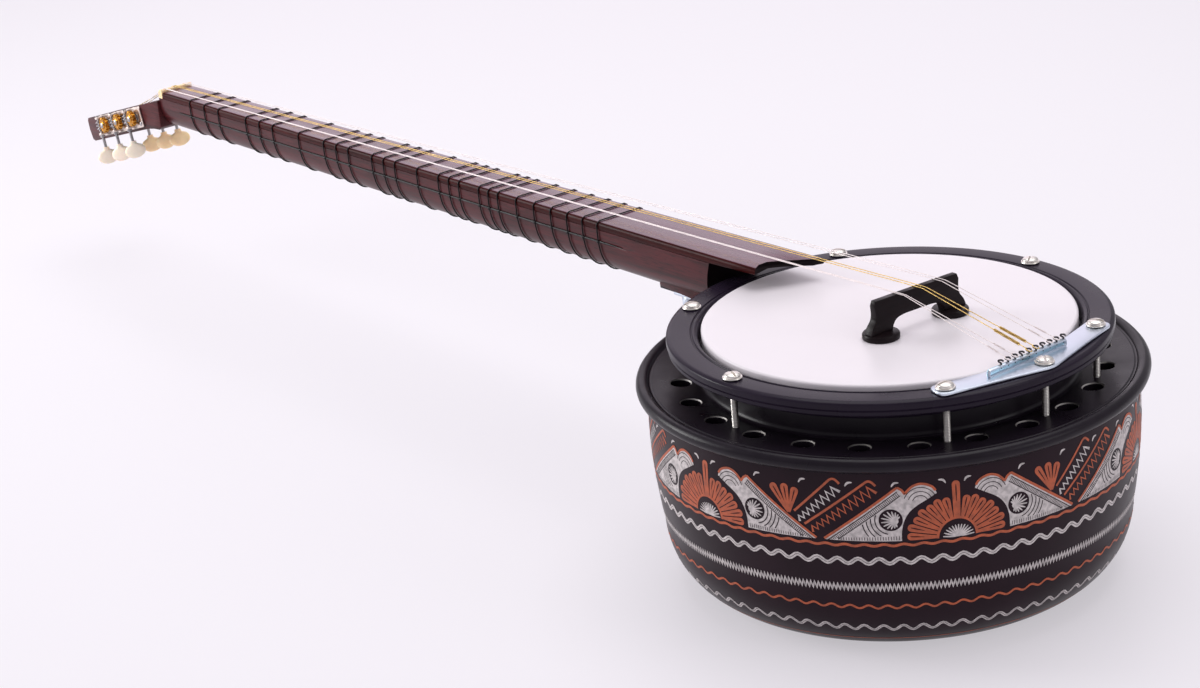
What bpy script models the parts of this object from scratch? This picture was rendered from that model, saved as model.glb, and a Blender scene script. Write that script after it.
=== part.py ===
"""Cumbus: a plucked lute with a deep metal bowl, a drum head and a long neck that tilts.

Lengths below are in millimetres and become metres in add_object. Heights are measured from
the top face of the tension hoop, and BODY_HEIGHT raises them so that Z = 0 is the flat base
of the bowl. +Z runs up the bowl's axis and the neck points towards -X.
"""

import math

import bmesh
import bpy
from mathutils import Vector

MM = 0.001
GAP = 0.3

# Bowl and top casting
BODY_HEIGHT = 143.7
RING_STEPS = 40
BELLY_RADIUS = 134.6
BELLY_HEIGHT = -53.0
BELLY_CURVE = 0.00169
BASE_RADIUS = 96.9
CORNER_WIDTH = 33.0
CORNER_HEIGHT = 38.0
BOWL_WALL = 2.0
BOWL_RIM_HEIGHT = -32.4
SHELL_OUTER = 101.6
SHELL_INNER = 98.5
SHELL_TOP = 0.6
FLANGE_INNER_TOP = -28.4
FLANGE_SLOPE = 0.08
FLANGE_UNDERSIDE = -31.6
BEAD_RADIUS = 3.8
BEAD_CENTRE = 136.5
BEAD_HEIGHT = -28.2
SOUND_HOLES = 24
SOUND_HOLE_CIRCLE = 115.5
SOUND_HOLE_RADIUS = 5.6

# Head, hoops and tension screws
FILM_RADIUS = 102.3
FILM_TOP = 1.5
HOOP_OUTER = 121.8
HOOP_INNER = 104.0
HOOP_SKIRT = -14.3
SCREW_CIRCLE = 113.5
SCREW_ANGLES = (-150, -90, -30, 0, 30, 90, 150)
SCREW_RADIUS = 1.9
SCREW_HOLE_RADIUS = 2.5
SCREW_HEAD_RADIUS = 5.6
SCREW_HEAD_HEIGHT = 3.2
SCREW_FOOT = -38.0

# Tailpiece
TAIL_PLATE = 1.5
TAIL_HALF_WIDTH = 6.8
TAIL_BAR_X = 105.4
TAIL_BAR_NEAR = -31.0
TAIL_BAR_FAR = 25.5
TAIL_BAR_TOP = 5.8
HOOK_COUNT = 10
HOOK_PITCH = 5.2
HOOK_HEIGHT = 3.2

# Bridge
BRIDGE_X = 23.0
BRIDGE_Y = -1.5
BRIDGE_TURN = math.radians(-2.9)
BRIDGE_TOP = 23.4
BRIDGE_THICKNESS = 6.0
FOOT_SPREAD = 25.0
FOOT_RADIUS = 10.2
FOOT_HEIGHT = 3.5

# Neck, fingerboard, nut and frets
NUT_X = -768.5
SCALE_LENGTH = 785.8
HEEL_X = -125.0
HEEL_LEAN = 0.33
BOARD_TOP_AT_HEAD = 14.7
BOARD_RISE = 0.0079
BOARD_REFERENCE_X = -102.0
NUT_HALF_WIDTH = 13.35
HEAD_END_HALF_WIDTH = 18.9
BOARD_THICKNESS = 5.0
BOARD_TIP_THICKNESS = 3.8
NECK_DEPTH_AT_NUT = 28.2
NECK_DEPTH_RATE = 0.0097
NECK_ROUNDNESS = 2.4
GROOVE_START = -745.0
GROOVE_END = -204.0
GROOVE_TAPER = 14.0
GROOVE_DEPTH = 0.9
REBATE_X = -186.0
REBATE_HEIGHT = -19.0
FRET_WIDTH = 1.0
FRET_HEIGHT = 0.8
FRET_SEMITONES = (
    1, 1.5, 2, 3, 3.5, 4, 5, 6, 6.5, 7, 8, 8.5, 9,
    10, 11, 11.5, 12, 13, 13.5, 14, 15, 16, 17, 18, 19, 20,
)
BOARD_END = ((-18.9, -86.0), (-12.0, -89.8), (-6.0, -89.5), (3.0, -82.0), (13.0, -72.0), (18.9, -69.5))

# Slotted head and its frame: u runs along the head from the nut, n is square to its face
HEAD_TILT = math.radians(15.4)
HEAD_ORIGIN_Z = 3.36
HEAD_LENGTH = 131.0
HEAD_HALF_WIDTH = 15.0
HEAD_THICKNESS = 19.0
SLOT_INNER = 2.5
SLOT_OUTER = 12.0
SLOT_START = 20.0
SLOT_END = 113.0

# Tuning machines
TUNER_PLACES = (45.0, 69.5, 94.0)
POST_DEPTH = -8.2
POST_RADIUS = 3.2
POST_HOLE_RADIUS = 3.7
PLATE_THICKNESS = 1.2
PLATE_START = 35.0
PLATE_END = 112.0
GEAR_TEETH = 14
GEAR_PITCH_RADIUS = 5.6
GEAR_TIP_RADIUS = 6.24
GEAR_ROOT_RADIUS = 4.8
GEAR_FACE = 3.2
GEAR_CENTRE_Y = 19.9
WORM_OFFSET = 8.0
WORM_TIP_RADIUS = 3.0
WORM_ROOT_RADIUS = 1.5
WORM_FLANK_SLOPE = 3.0
WORM_STEPS = 6
WORM_HALF_LENGTH = 3.9
WORM_SHAFT_RADIUS = 1.2
LUG_START = 5.4
LUG_END = 7.4
BUTTON_TOP = -25.5
BUTTON_LENGTH = 13.2
BUTTON_HALF_WIDTH = 8.2
BUTTON_TURNS = (52, 40, 60)

# Neck joint
PIVOT_X = -148.0
PIVOT_HEIGHT = -27.0
PIVOT_PIN_RADIUS = 2.0
PIVOT_HOLE_RADIUS = 2.5
ARM_HALF_WIDTH = 6.5
ARM_TOP = -21.9
ARM_THICKNESS = 2.0
EAR_THICKNESS = 2.0
HEEL_PLATE_THICKNESS = 1.4
HEEL_PLATE_HALF_WIDTH = 9.4
ARM_END = -176.0
TILT_BOLT_X = -166.0
TILT_BOLT_RADIUS = 2.5
TILT_HOLE_RADIUS = 3.0
ARM_SCREW_X = -127.0
ARM_SCREW_Y = 3.9

# Strings: y of the six strings at the nut, the bridge and the tailpiece
NUT_TOP = 11.3
STRINGS_AT_NUT = (-9.9, -8.1, -0.9, 0.9, 8.1, 9.9)
STRINGS_AT_BRIDGE = (-15.8, -13.2, -1.3, 1.3, 13.2, 15.8)
STRINGS_AT_TAIL = (-18.2, -13.0, -2.6, 2.6, 13.0, 18.2)
STRINGS_AT_POST = (-9.4, -7.2, -5.0, 5.0, 7.2, 9.4)
STRING_POSTS = (0, 1, 2, 2, 1, 0)
STRING_RADII = (0.35, 0.35, 0.5, 0.5, 0.35, 0.35)


def clear_scene():
    for item in list(bpy.data.objects):
        bpy.data.objects.remove(item, do_unlink=True)


def finish(name, colour, roughness, metallic=0.0):
    """Return the named Principled material."""
    made = bpy.data.materials.get(name)
    if made is None:
        made = bpy.data.materials.new(name)
        made.use_nodes = True
        shader = made.node_tree.nodes["Principled BSDF"]
        shader.inputs["Base Color"].default_value = (*colour, 1.0)
        shader.inputs["Roughness"].default_value = roughness
        shader.inputs["Metallic"].default_value = metallic
        made.diffuse_color = (*colour, 1.0)
    return made


def black_enamel():
    return finish("black_enamel", (0.012, 0.010, 0.013), 0.35)


def zinc():
    return finish("zinc_plate", (0.55, 0.60, 0.66), 0.3, 1.0)


def rosewood():
    return finish("dark_stained_wood", (0.075, 0.028, 0.024), 0.4)


def add_object(name, points, faces, material, pivot=(0.0, 0.0, 0.0), sharp=35.0):
    """Make one closed mesh object from millimetre points; its origin goes to the pivot."""
    origin = Vector(pivot) + Vector((0.0, 0.0, BODY_HEIGHT))
    mesh = bpy.data.meshes.new(name)
    work = bmesh.new()
    verts = [work.verts.new((Vector(p) - Vector(pivot)) * MM) for p in points]
    for face in faces:
        work.faces.new([verts[i] for i in face])
    bmesh.ops.recalc_face_normals(work, faces=work.faces)
    work.to_mesh(mesh)
    work.free()
    mesh.shade_smooth()
    mesh.set_sharp_from_angle(angle=math.radians(sharp))
    made = bpy.data.objects.new(name, mesh)
    made.location = origin * MM
    made.data.materials.append(material)
    bpy.context.scene.collection.objects.link(made)
    return made


def loft(sections, wrap=False):
    """Skin closed sections of equal count; wrap joins the last to the first, else both are capped."""
    count = len(sections[0])
    points = [p for section in sections for p in section]
    faces = []
    for i in range(len(sections) if wrap else len(sections) - 1):
        a = i * count
        b = (i + 1) % len(sections) * count
        for j in range(count):
            k = (j + 1) % count
            faces.append((a + j, a + k, b + k, b + j))
    if not wrap:
        faces.append(tuple(range(count)))
        faces.append(tuple(range(len(points) - count, len(points))))
    return points, faces


def merged(shapes):
    """Put several closed shapes into one point and face list."""
    points, faces = [], []
    for shape_points, shape_faces in shapes:
        start = len(points)
        points.extend(shape_points)
        faces.extend(tuple(start + i for i in face) for face in shape_faces)
    return points, faces


def upright(a, b, height):
    return (a, b, height)


def circle(radius, steps, height, place=upright, centre=(0.0, 0.0)):
    ring = []
    for i in range(steps):
        angle = 2.0 * math.pi * i / steps
        a = centre[0] + radius * math.cos(angle)
        b = centre[1] + radius * math.sin(angle)
        ring.append(place(a, b, height))
    return ring


def turned(profile, steps, wrap=False, place=upright, centre=(0.0, 0.0)):
    """Turn (radius, height) points about an axis; wrap is for a ring with a closed profile."""
    return loft([circle(r, steps, h, place, centre) for r, h in profile], wrap)


def prism(outline, low, high, place=upright):
    return loft([[place(a, b, level) for a, b in outline] for level in (low, high)])


def across(a, b, depth):
    """Place an outline drawn in X and Z, extruded along Y."""
    return (a, depth, b)


def head_point(u, y, n):
    """A point in the head's frame, with the head's tilt behind the nut."""
    x = NUT_X - u * math.cos(HEAD_TILT) - n * math.sin(HEAD_TILT)
    z = HEAD_ORIGIN_Z - u * math.sin(HEAD_TILT) + n * math.cos(HEAD_TILT)
    return (x, y, z)


def head_side(u, n, y):
    return head_point(u, y, n)


def boolean(target, name, shape, operation):
    """Cut a shape from the target, or join it on; the tool stays hidden in the scene."""
    tool = add_object(name, *shape, black_enamel())
    tool.hide_render = True
    tool.display_type = "WIRE"
    step = target.modifiers.new(name, "BOOLEAN")
    step.operation = operation
    step.solver = "EXACT"
    step.object = tool


def arc(centre, radius, start, end, steps):
    """Points on an arc of an ellipse; radius is (across, up) and the angles are in degrees."""
    made = []
    for i in range(steps + 1):
        angle = math.radians(start + (end - start) * i / steps)
        made.append((centre[0] + radius[0] * math.cos(angle), centre[1] + radius[1] * math.sin(angle)))
    return made


def polar(radius, degrees):
    return (radius * math.cos(math.radians(degrees)), radius * math.sin(math.radians(degrees)))


def flange_top(radius):
    return FLANGE_INNER_TOP + (radius - SHELL_OUTER - 2.4) * FLANGE_SLOPE


def make_bowl():
    """Spun bowl: a slightly barrelled wall, an elliptical corner and a flat base."""
    corner = (BASE_RADIUS, -BODY_HEIGHT + CORNER_HEIGHT)
    wall = []
    for height in (BOWL_RIM_HEIGHT, BELLY_HEIGHT, -84.0):
        wall.append((BELLY_RADIUS - BELLY_CURVE * (height - BELLY_HEIGHT) ** 2, height))
    outer = wall + arc(corner, (CORNER_WIDTH, CORNER_HEIGHT), 0, -90, 5)
    inner_corner = (CORNER_WIDTH - BOWL_WALL, CORNER_HEIGHT - BOWL_WALL)
    inner = [(r - BOWL_WALL, h) for r, h in wall] + arc(corner, inner_corner, 0, -90, 5)
    profile = outer[::-1] + inner
    add_object("bowl", *turned(profile, RING_STEPS), black_enamel())


def make_top_casting():
    """Shell that the head rides on, with its pierced flange and rolled bead, cast in one."""
    bead = arc((BEAD_CENTRE, BEAD_HEIGHT), (BEAD_RADIUS, BEAD_RADIUS), 150, -110, 6)
    profile = [
        (SHELL_INNER, SHELL_TOP),
        (SHELL_OUTER - 0.8, SHELL_TOP),
        (SHELL_OUTER, SHELL_TOP - 0.9),
        (SHELL_OUTER, FLANGE_INNER_TOP + 2.0),
        (SHELL_OUTER + 2.4, FLANGE_INNER_TOP),
        (131.0, flange_top(131.0)),
        *bead,
        (131.6, BOWL_RIM_HEIGHT + GAP),
        (131.4, -38.0),
        (129.4, -38.0),
        (129.4, FLANGE_UNDERSIDE),
        (SHELL_OUTER + 2.0, FLANGE_UNDERSIDE),
        (SHELL_INNER, -36.0),
    ]
    casting = add_object("top_casting", *turned(profile, RING_STEPS, wrap=True), black_enamel())
    low, high = -40.0, -20.0
    holes = []
    for i in range(SOUND_HOLES):
        centre = polar(SOUND_HOLE_CIRCLE, (i + 0.5) * 360.0 / SOUND_HOLES)
        holes.append(prism(circle_outline(SOUND_HOLE_RADIUS, 8, centre), low, high))
    for angle in SCREW_ANGLES:
        centre = polar(SCREW_CIRCLE, angle)
        holes.append(prism(circle_outline(SCREW_HOLE_RADIUS, 8, centre), low, high))
    for side in (-1, 1):
        centre = (ARM_SCREW_X, side * ARM_SCREW_Y)
        holes.append(prism(circle_outline(2.2, 8, centre), low, high))
    boolean(casting, "flange_holes", merged(holes), "DIFFERENCE")


def circle_outline(radius, steps, centre):
    """Flat circle whose flats, not corners, lie at the given radius."""
    reach = radius / math.cos(math.pi / steps)
    return [(a, b) for a, b, _ in circle(reach, steps, 0.0, centre=centre)]


def make_head():
    """Film head with its collar, the flesh hoop that grips it and the tension hoop above."""
    film = [
        (FILM_RADIUS, -9.5),
        (FILM_RADIUS, 0.6),
        (FILM_RADIUS - 0.9, FILM_TOP),
        (FILM_RADIUS - 1.0, FILM_TOP - 0.5),
        (FILM_RADIUS - 0.4, 0.3),
        (FILM_RADIUS - 0.4, -9.5),
    ]
    outer = film[:3][::-1]
    inner = film[3:][::-1]
    profile = [(40.0, FILM_TOP), *outer, *inner, (40.0, FILM_TOP - 0.5)]
    white = finish("film_white", (0.80, 0.78, 0.80), 0.35)
    add_object("drumhead", *turned(profile, RING_STEPS), white)

    flesh = [(102.7, -9.3), (106.4, -9.3), (106.4, -13.0), (102.7, -13.0)]
    add_object("flesh_hoop", *turned(flesh, RING_STEPS, wrap=True), black_enamel())

    hoop = [
        (HOOP_INNER, -1.3),
        (107.5, 0.0),
        (119.6, 0.0),
        (121.3, -0.6),
        (HOOP_OUTER, -2.1),
        (HOOP_OUTER, -6.4),
        (121.2, -7.9),
        (119.7, -8.5),
        (109.0, -8.5),
        (108.7, HOOP_SKIRT),
        (107.0, HOOP_SKIRT),
        (106.8, -8.9),
        (HOOP_INNER, -8.9),
    ]
    made = add_object("tension_hoop", *turned(hoop, RING_STEPS, wrap=True), black_enamel())
    holes = []
    for angle in SCREW_ANGLES:
        centre = polar(SCREW_CIRCLE, angle)
        holes.append(prism(circle_outline(SCREW_HOLE_RADIUS, 8, centre), -12.0, 4.0))
    boolean(made, "hoop_holes", merged(holes), "DIFFERENCE")


def make_tailpiece():
    """Bent strip under three of the tension screws, with an upright bar of string hooks."""
    side = polar(SCREW_CIRCLE, 30)
    run = Vector((SCREW_CIRCLE - side[0], -side[1])).normalized()
    out = Vector((-run.y, run.x))
    end = Vector(side) - run * 6.2
    apex = TAIL_HALF_WIDTH / abs(out.x)
    half = [
        (SCREW_CIRCLE + apex, 0.0),
        tuple(end + out * (TAIL_HALF_WIDTH - 2.4)),
        tuple(end - run * 1.6 + out * (TAIL_HALF_WIDTH - 5.0)),
        tuple(end - run * 1.6 - out * (TAIL_HALF_WIDTH - 4.0)),
        tuple(end - out * TAIL_HALF_WIDTH),
        (SCREW_CIRCLE - apex, 0.0),
    ]
    outline = half + [(x, -y) for x, y in half[-2:0:-1]]
    tail = add_object("tailpiece", *prism(outline, GAP, GAP + TAIL_PLATE), zinc())

    bar = [(TAIL_BAR_NEAR, 1.0), (TAIL_BAR_NEAR, TAIL_BAR_TOP)]
    for i in range(HOOK_COUNT):
        y = (i - (HOOK_COUNT - 1) / 2.0) * HOOK_PITCH
        bar.extend([(y - 0.9, TAIL_BAR_TOP), (y - 0.7, TAIL_BAR_TOP + HOOK_HEIGHT)])
        bar.extend([(y + 0.7, TAIL_BAR_TOP + HOOK_HEIGHT), (y + 0.9, TAIL_BAR_TOP)])
    bar.extend([(TAIL_BAR_FAR, TAIL_BAR_TOP), (TAIL_BAR_FAR, 1.0)])
    upright_bar = prism(bar, TAIL_BAR_X - 0.75, TAIL_BAR_X + 0.75, lambda y, z, x: (x, y, z))
    boolean(tail, "hook_bar", upright_bar, "UNION")
    holes = []
    for angle in (-30, 0, 30):
        centre = polar(SCREW_CIRCLE, angle)
        holes.append(prism(circle_outline(SCREW_HOLE_RADIUS, 8, centre), -2.0, 4.0))
    boolean(tail, "tailpiece_holes", merged(holes), "DIFFERENCE")


def make_tension_screws():
    """Slotted screws that draw the hoop down; three of them also hold the tailpiece."""
    for number, angle in enumerate(SCREW_ANGLES, start=1):
        seat = GAP
        if abs(angle) <= 30:
            seat = 2.0 * GAP + TAIL_PLATE
        x, y = polar(SCREW_CIRCLE, angle)
        dome = arc((0.0, seat + 1.0), (SCREW_HEAD_RADIUS, SCREW_HEAD_HEIGHT - 1.0), 0, 72, 3)
        profile = [(SCREW_RADIUS, SCREW_FOOT), (SCREW_RADIUS, seat), (SCREW_HEAD_RADIUS - 0.2, seat), *dome]
        shape = turned(profile, 12, centre=(x, y))
        screw = add_object(f"tension_screw_{number}", *shape, zinc(), pivot=(x, y, seat))
        along = polar(1.0, angle + 35.0 * number)
        slot = []
        for a, b in ((-7.0, -0.6), (7.0, -0.6), (7.0, 0.6), (-7.0, 0.6)):
            slot.append((x + a * along[0] - b * along[1], y + a * along[1] + b * along[0]))
        top = seat + SCREW_HEAD_HEIGHT
        boolean(screw, f"screw_slot_{number}", prism(slot, top - 1.2, top + 1.0), "DIFFERENCE")


def make_bridge():
    """Arched bridge on two round feet, standing a little turned on the head."""
    half = [
        (29.0, BRIDGE_TOP),
        (30.2, 20.5),
        (29.8, 14.0),
        (31.0, 11.0),
        (34.0, 6.4),
        (34.2, 4.8),
        (19.0, 4.8),
        (18.2, 6.4),
        (16.2, 9.0),
        (12.5, 11.5),
    ]
    outline = half + [(-y, z) for y, z in half[::-1]]

    def placed(y, z, x):
        turned_x = x * math.cos(BRIDGE_TURN) - y * math.sin(BRIDGE_TURN)
        turned_y = x * math.sin(BRIDGE_TURN) + y * math.cos(BRIDGE_TURN)
        return (BRIDGE_X + turned_x, BRIDGE_Y + turned_y, z)

    reach = BRIDGE_THICKNESS / 2.0
    black = finish("bridge_black", (0.010, 0.009, 0.010), 0.35)
    shape = prism(outline, -reach, reach, placed)
    bridge = add_object("bridge", *shape, black, pivot=(BRIDGE_X, BRIDGE_Y, FILM_TOP))
    for side, name in ((-1, "near_foot"), (1, "far_foot")):
        x, y, _ = placed(side * FOOT_SPREAD, 0.0, 0.0)
        low = FILM_TOP + GAP
        profile = [
            (FOOT_RADIUS - 0.4, low),
            (FOOT_RADIUS, low + 0.6),
            (FOOT_RADIUS, low + FOOT_HEIGHT - 1.0),
            (FOOT_RADIUS - 0.9, low + FOOT_HEIGHT),
        ]
        boolean(bridge, name, turned(profile, 20, centre=(x, y)), "UNION")


def board_top(x):
    return BOARD_TOP_AT_HEAD + BOARD_RISE * (x - BOARD_REFERENCE_X)


def board_half_width(x):
    share = (x - NUT_X) / (BOARD_REFERENCE_X - NUT_X)
    return NUT_HALF_WIDTH + share * (HEAD_END_HALF_WIDTH - NUT_HALF_WIDTH)


def board_thickness(x):
    share = min(1.0, max(0.0, (x + 130.0) / 50.0))
    return BOARD_THICKNESS - share * (BOARD_THICKNESS - BOARD_TIP_THICKNESS)


def neck_curve(x, groove):
    """Half-round neck section from the near top corner under the neck to the far one.

    groove is the depth of the side groove here. Returns (y, z) points.
    """
    half = board_half_width(x) - 0.2
    top = board_top(x) - BOARD_THICKNESS - GAP
    deep = NECK_DEPTH_AT_NUT + NECK_DEPTH_RATE * (x - NUT_X) - BOARD_THICKNESS - GAP

    def wall(drop):
        share = min(1.0, drop / deep)
        return half * (1.0 - share ** NECK_ROUNDNESS) ** (1.0 / NECK_ROUNDNESS)

    points = [(-half, top)]
    for drop, inset in ((5.6, 0.0), (6.4, groove), (8.4, groove), (9.2, 0.0)):
        points.append((-wall(drop) + inset, top - drop))
    for share in (0.66, 0.9):
        points.append((-wall(share * deep), top - share * deep))
    points.append((0.0, top - deep))
    for share in (0.9, 0.66, 0.34):
        points.append((wall(share * deep), top - share * deep))
    points.append((half, top))
    return points


def board_curve(x):
    """Fingerboard section over the top, from the far lower corner to the near one."""
    half = board_half_width(x)
    top = board_top(x)
    low = top - board_thickness(x)
    shoulder = [(half, low), (half, top - 1.9), (half - 0.6, top - 0.6), (half - 2.0, top)]
    return shoulder + [(-y, z) for y, z in shoulder[::-1]]


def make_neck():
    """Neck with a rounded back, a groove along its near side and a rebate under the heel."""
    stations = (
        (NUT_X - 4.2, 0.0),
        (GROOVE_START, 0.0),
        (GROOVE_START + GROOVE_TAPER, GROOVE_DEPTH),
        (GROOVE_END - GROOVE_TAPER, GROOVE_DEPTH),
        (GROOVE_END, 0.0),
        (REBATE_X - 0.8, 0.0),
        (REBATE_X, 0.0),
        (HEEL_X, 0.0),
    )
    sections = []
    for x, groove in stations:
        section = []
        for y, z in neck_curve(x, groove):
            if x >= REBATE_X:
                z = max(z, REBATE_HEIGHT)
            lean = HEEL_LEAN * (z - board_top(x)) if x == HEEL_X else 0.0
            section.append((x + lean, y, z))
        sections.append(section)
    add_object("neck", *loft(sections), rosewood())


def board_end(y):
    """X of the fingerboard's scooped end at a given y."""
    for (y0, x0), (y1, x1) in zip(BOARD_END, BOARD_END[1:]):
        if y <= y1:
            return x0 + (x1 - x0) * (y - y0) / (y1 - y0)
    return BOARD_END[-1][1]


def make_fingerboard():
    """Board with rounded edges that reaches over the head and ends in a scoop."""
    sections = []
    for x in (NUT_X + 2.0, -130.0, None):
        at = -80.0 if x is None else x
        section = []
        low = board_top(at) - board_thickness(at)
        curve = board_curve(at)
        middle = [(y, board_top(at)) for y, _ in BOARD_END[-2:0:-1]]
        under = [(y, low) for y, _ in BOARD_END[1:-1]]
        for y, z in curve[:4] + middle + curve[4:] + under:
            section.append((board_end(y) if x is None else x, y, z))
        sections.append(section)
    add_object("fingerboard", *loft(sections), rosewood())


def make_nut():
    low = board_top(NUT_X) - BOARD_THICKNESS
    outline = [(NUT_X - 3.9, low), (NUT_X + 1.7, low), (NUT_X + 1.7, NUT_TOP), (NUT_X - 1.5, NUT_TOP)]
    outline.append((NUT_X - 3.9, NUT_TOP - 1.6))
    cream = finish("nut_cream", (0.85, 0.74, 0.50), 0.4)
    add_object("nut", *prism(outline, -NUT_HALF_WIDTH, NUT_HALF_WIDTH, across), cream)


def fret_x(semitones):
    return NUT_X + SCALE_LENGTH * (1.0 - 2.0 ** (-semitones / 12.0))


def grown(outline, distance):
    """Move a closed outline outwards by a distance, with mitred corners."""
    moved = []
    count = len(outline)
    for i in range(count):
        before, here, after = (Vector(outline[(i + k) % count]) for k in (-1, 0, 1))
        first = (here - before).normalized()
        second = (after - here).normalized()
        normals = (Vector((first.y, -first.x)), Vector((second.y, -second.x)))
        mitre = (normals[0] + normals[1]).normalized()
        moved.append(tuple(here + mitre * distance / max(0.4, mitre.dot(normals[0]))))
    return moved


def fret_outline(x):
    """Closed section round neck and fingerboard together, counter-clockwise seen from the tail."""
    half, top = board_half_width(x), board_top(x)
    shoulder = [(half, top - 1.0), (half - 1.4, top), (1.4 - half, top), (-half, top - 1.0)]
    return neck_curve(x, GROOVE_DEPTH)[1:-1] + shoulder


def make_frets():
    """Gut frets tied round the neck, joined by the cord of their knots in the side groove."""
    groove_edge = 1
    points, faces = [], []
    frets = [fret_x(n) for n in FRET_SEMITONES]
    count = len(fret_outline(frets[0]))
    for fret in frets:
        for x in (fret - FRET_WIDTH / 2.0, fret + FRET_WIDTH / 2.0):
            outline = fret_outline(x)
            for distance in (GAP, GAP + FRET_HEIGHT):
                points.extend((x, y, z) for y, z in grown(outline, distance))
    size = 4 * count
    for number in range(len(frets)):
        start = number * size
        rings = [start + k * count for k in (0, 1, 3, 2)]
        for j in range(count):
            k = (j + 1) % count
            for side in range(4):
                a, b = rings[side], rings[(side + 1) % 4]
                toward_nut, toward_tail = side == 0, side == 2
                bridged = toward_nut and number > 0 or toward_tail and number < len(frets) - 1
                if j == groove_edge and bridged:
                    continue
                faces.append((a + j, a + k, b + k, b + j))
        if number < len(frets) - 1:
            j, k = groove_edge, groove_edge + 1
            a, b, c = start + 2 * count, start + 3 * count, start + size
            here = [a + j, b + j, b + k, a + k]
            there = [c + j, c + count + j, c + count + k, c + k]
            for m in range(4):
                n = (m + 1) % 4
                faces.append((here[m], here[n], there[n], there[m]))
    gut = finish("fret_black", (0.012, 0.010, 0.012), 0.45)
    add_object("tied_frets", points, faces, gut)


def make_headstock():
    """Slotted head, leaning back behind the nut, with six holes for the posts."""
    low_front = board_top(NUT_X) - NECK_DEPTH_AT_NUT + 1.0
    start_x = NUT_X - 4.2 - GAP
    start_u = (NUT_X - start_x) / math.cos(HEAD_TILT)
    corner = head_point(start_u, 0.0, 0.0)
    end_top = head_point(HEAD_LENGTH, 0.0, 0.0)
    end_mid = head_point(HEAD_LENGTH + 1.2, 0.0, -HEAD_THICKNESS / 2.0)
    end_low = head_point(HEAD_LENGTH, 0.0, -HEAD_THICKNESS + 1.5)
    back = head_point(24.0, 0.0, -HEAD_THICKNESS)
    outline = [(start_x, corner[2] + 0.3)]
    outline.extend((p[0], p[2]) for p in (end_top, end_mid, end_low, back))
    outline.append((start_x, low_front))
    head = add_object("headstock", *prism(outline, -HEAD_HALF_WIDTH, HEAD_HALF_WIDTH, across), rosewood())
    slots, holes = [], []
    for side in (-1, 1):
        y0, y1 = side * SLOT_INNER, side * SLOT_OUTER
        rounding = 2.0
        slot = [
            (SLOT_START, y0 + side * rounding), (SLOT_START + rounding, y0),
            (SLOT_END - rounding, y0), (SLOT_END, y0 + side * rounding),
            (SLOT_END, y1 - side * rounding), (SLOT_END - rounding, y1),
            (SLOT_START + rounding, y1), (SLOT_START, y1 - side * rounding),
        ]
        slots.append(prism(slot, -30.0, 12.0, lambda u, y, n: head_point(u, y, n)))
        for place in TUNER_PLACES:
            ring = circle_outline(POST_HOLE_RADIUS, 10, (place, POST_DEPTH))
            holes.append(prism(ring, side * (SLOT_OUTER - 1.0), side * (HEAD_HALF_WIDTH + 2.0), head_side))
    boolean(head, "head_slots", merged(slots), "DIFFERENCE")
    boolean(head, "post_holes", merged(holes), "DIFFERENCE")


def box(u0, u1, y0, y1, n0, n1):
    return prism([(u0, y0), (u1, y0), (u1, y1), (u0, y1)], n0, n1, lambda u, y, n: head_point(u, y, n))


def make_tuner_plates():
    """Side plates that carry the posts, with two lugs for each worm."""
    nickel = finish("plate_nickel", (0.62, 0.55, 0.50), 0.3, 1.0)
    for side, name in ((-1, "near"), (1, "far")):
        inner = side * (HEAD_HALF_WIDTH + GAP)
        outer = side * (HEAD_HALF_WIDTH + GAP + PLATE_THICKNESS)
        lug_edge = side * (GEAR_CENTRE_Y + 2.4)
        low, high = POST_DEPTH - 8.6, POST_DEPTH + 8.0
        cut = 1.6
        outline = [
            (PLATE_START, low + cut), (PLATE_START + cut, low),
            (PLATE_END - cut, low), (PLATE_END, low + cut),
            (PLATE_END, high - cut), (PLATE_END - cut, high),
            (PLATE_START + cut, high), (PLATE_START, high - cut),
        ]
        plate = add_object(f"tuner_plate_{name}", *prism(outline, inner, outer, head_side), nickel)
        lugs, holes = [], []
        for place in TUNER_PLACES:
            worm_u = place + WORM_OFFSET
            for end in (-1, 1):
                n0, n1 = POST_DEPTH + end * LUG_START, POST_DEPTH + end * LUG_END
                lugs.append(box(worm_u - 2.3, worm_u + 2.3, outer - side * 0.4, lug_edge, n0, n1))
                bore = circle_outline(WORM_SHAFT_RADIUS + 0.35, 8, (worm_u, side * GEAR_CENTRE_Y))
                ends = (POST_DEPTH + end * 4.8, POST_DEPTH + end * 8.6)
                holes.append(prism(bore, *ends, lambda u, y, n: head_point(u, y, n)))
            ring = circle_outline(POST_HOLE_RADIUS, 10, (place, POST_DEPTH))
            holes.append(prism(ring, inner - side * 2.0, outer + side * 0.8, head_side))
        boolean(plate, f"worm_lugs_{name}", merged(lugs), "UNION")
        boolean(plate, f"plate_holes_{name}", merged(holes), "DIFFERENCE")


def gear_outline(centre):
    """Teeth with straight flanks; one tooth points along +u, at the worm."""
    outline = []
    pitch = 2.0 * math.pi / GEAR_TEETH
    for i in range(GEAR_TEETH):
        for radius, half in ((GEAR_ROOT_RADIUS, -0.77), (GEAR_TIP_RADIUS, -0.28),
                             (GEAR_TIP_RADIUS, 0.28), (GEAR_ROOT_RADIUS, 0.77)):
            angle = i * pitch + half / radius
            outline.append((centre[0] + radius * math.cos(angle), centre[1] + radius * math.sin(angle)))
    return outline


def worm_radius(distance):
    """Radius of the worm at an axial distance from the middle of its thread."""
    return max(WORM_ROOT_RADIUS, WORM_TIP_RADIUS - WORM_FLANK_SLOPE * max(0.0, distance - 0.2))


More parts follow.
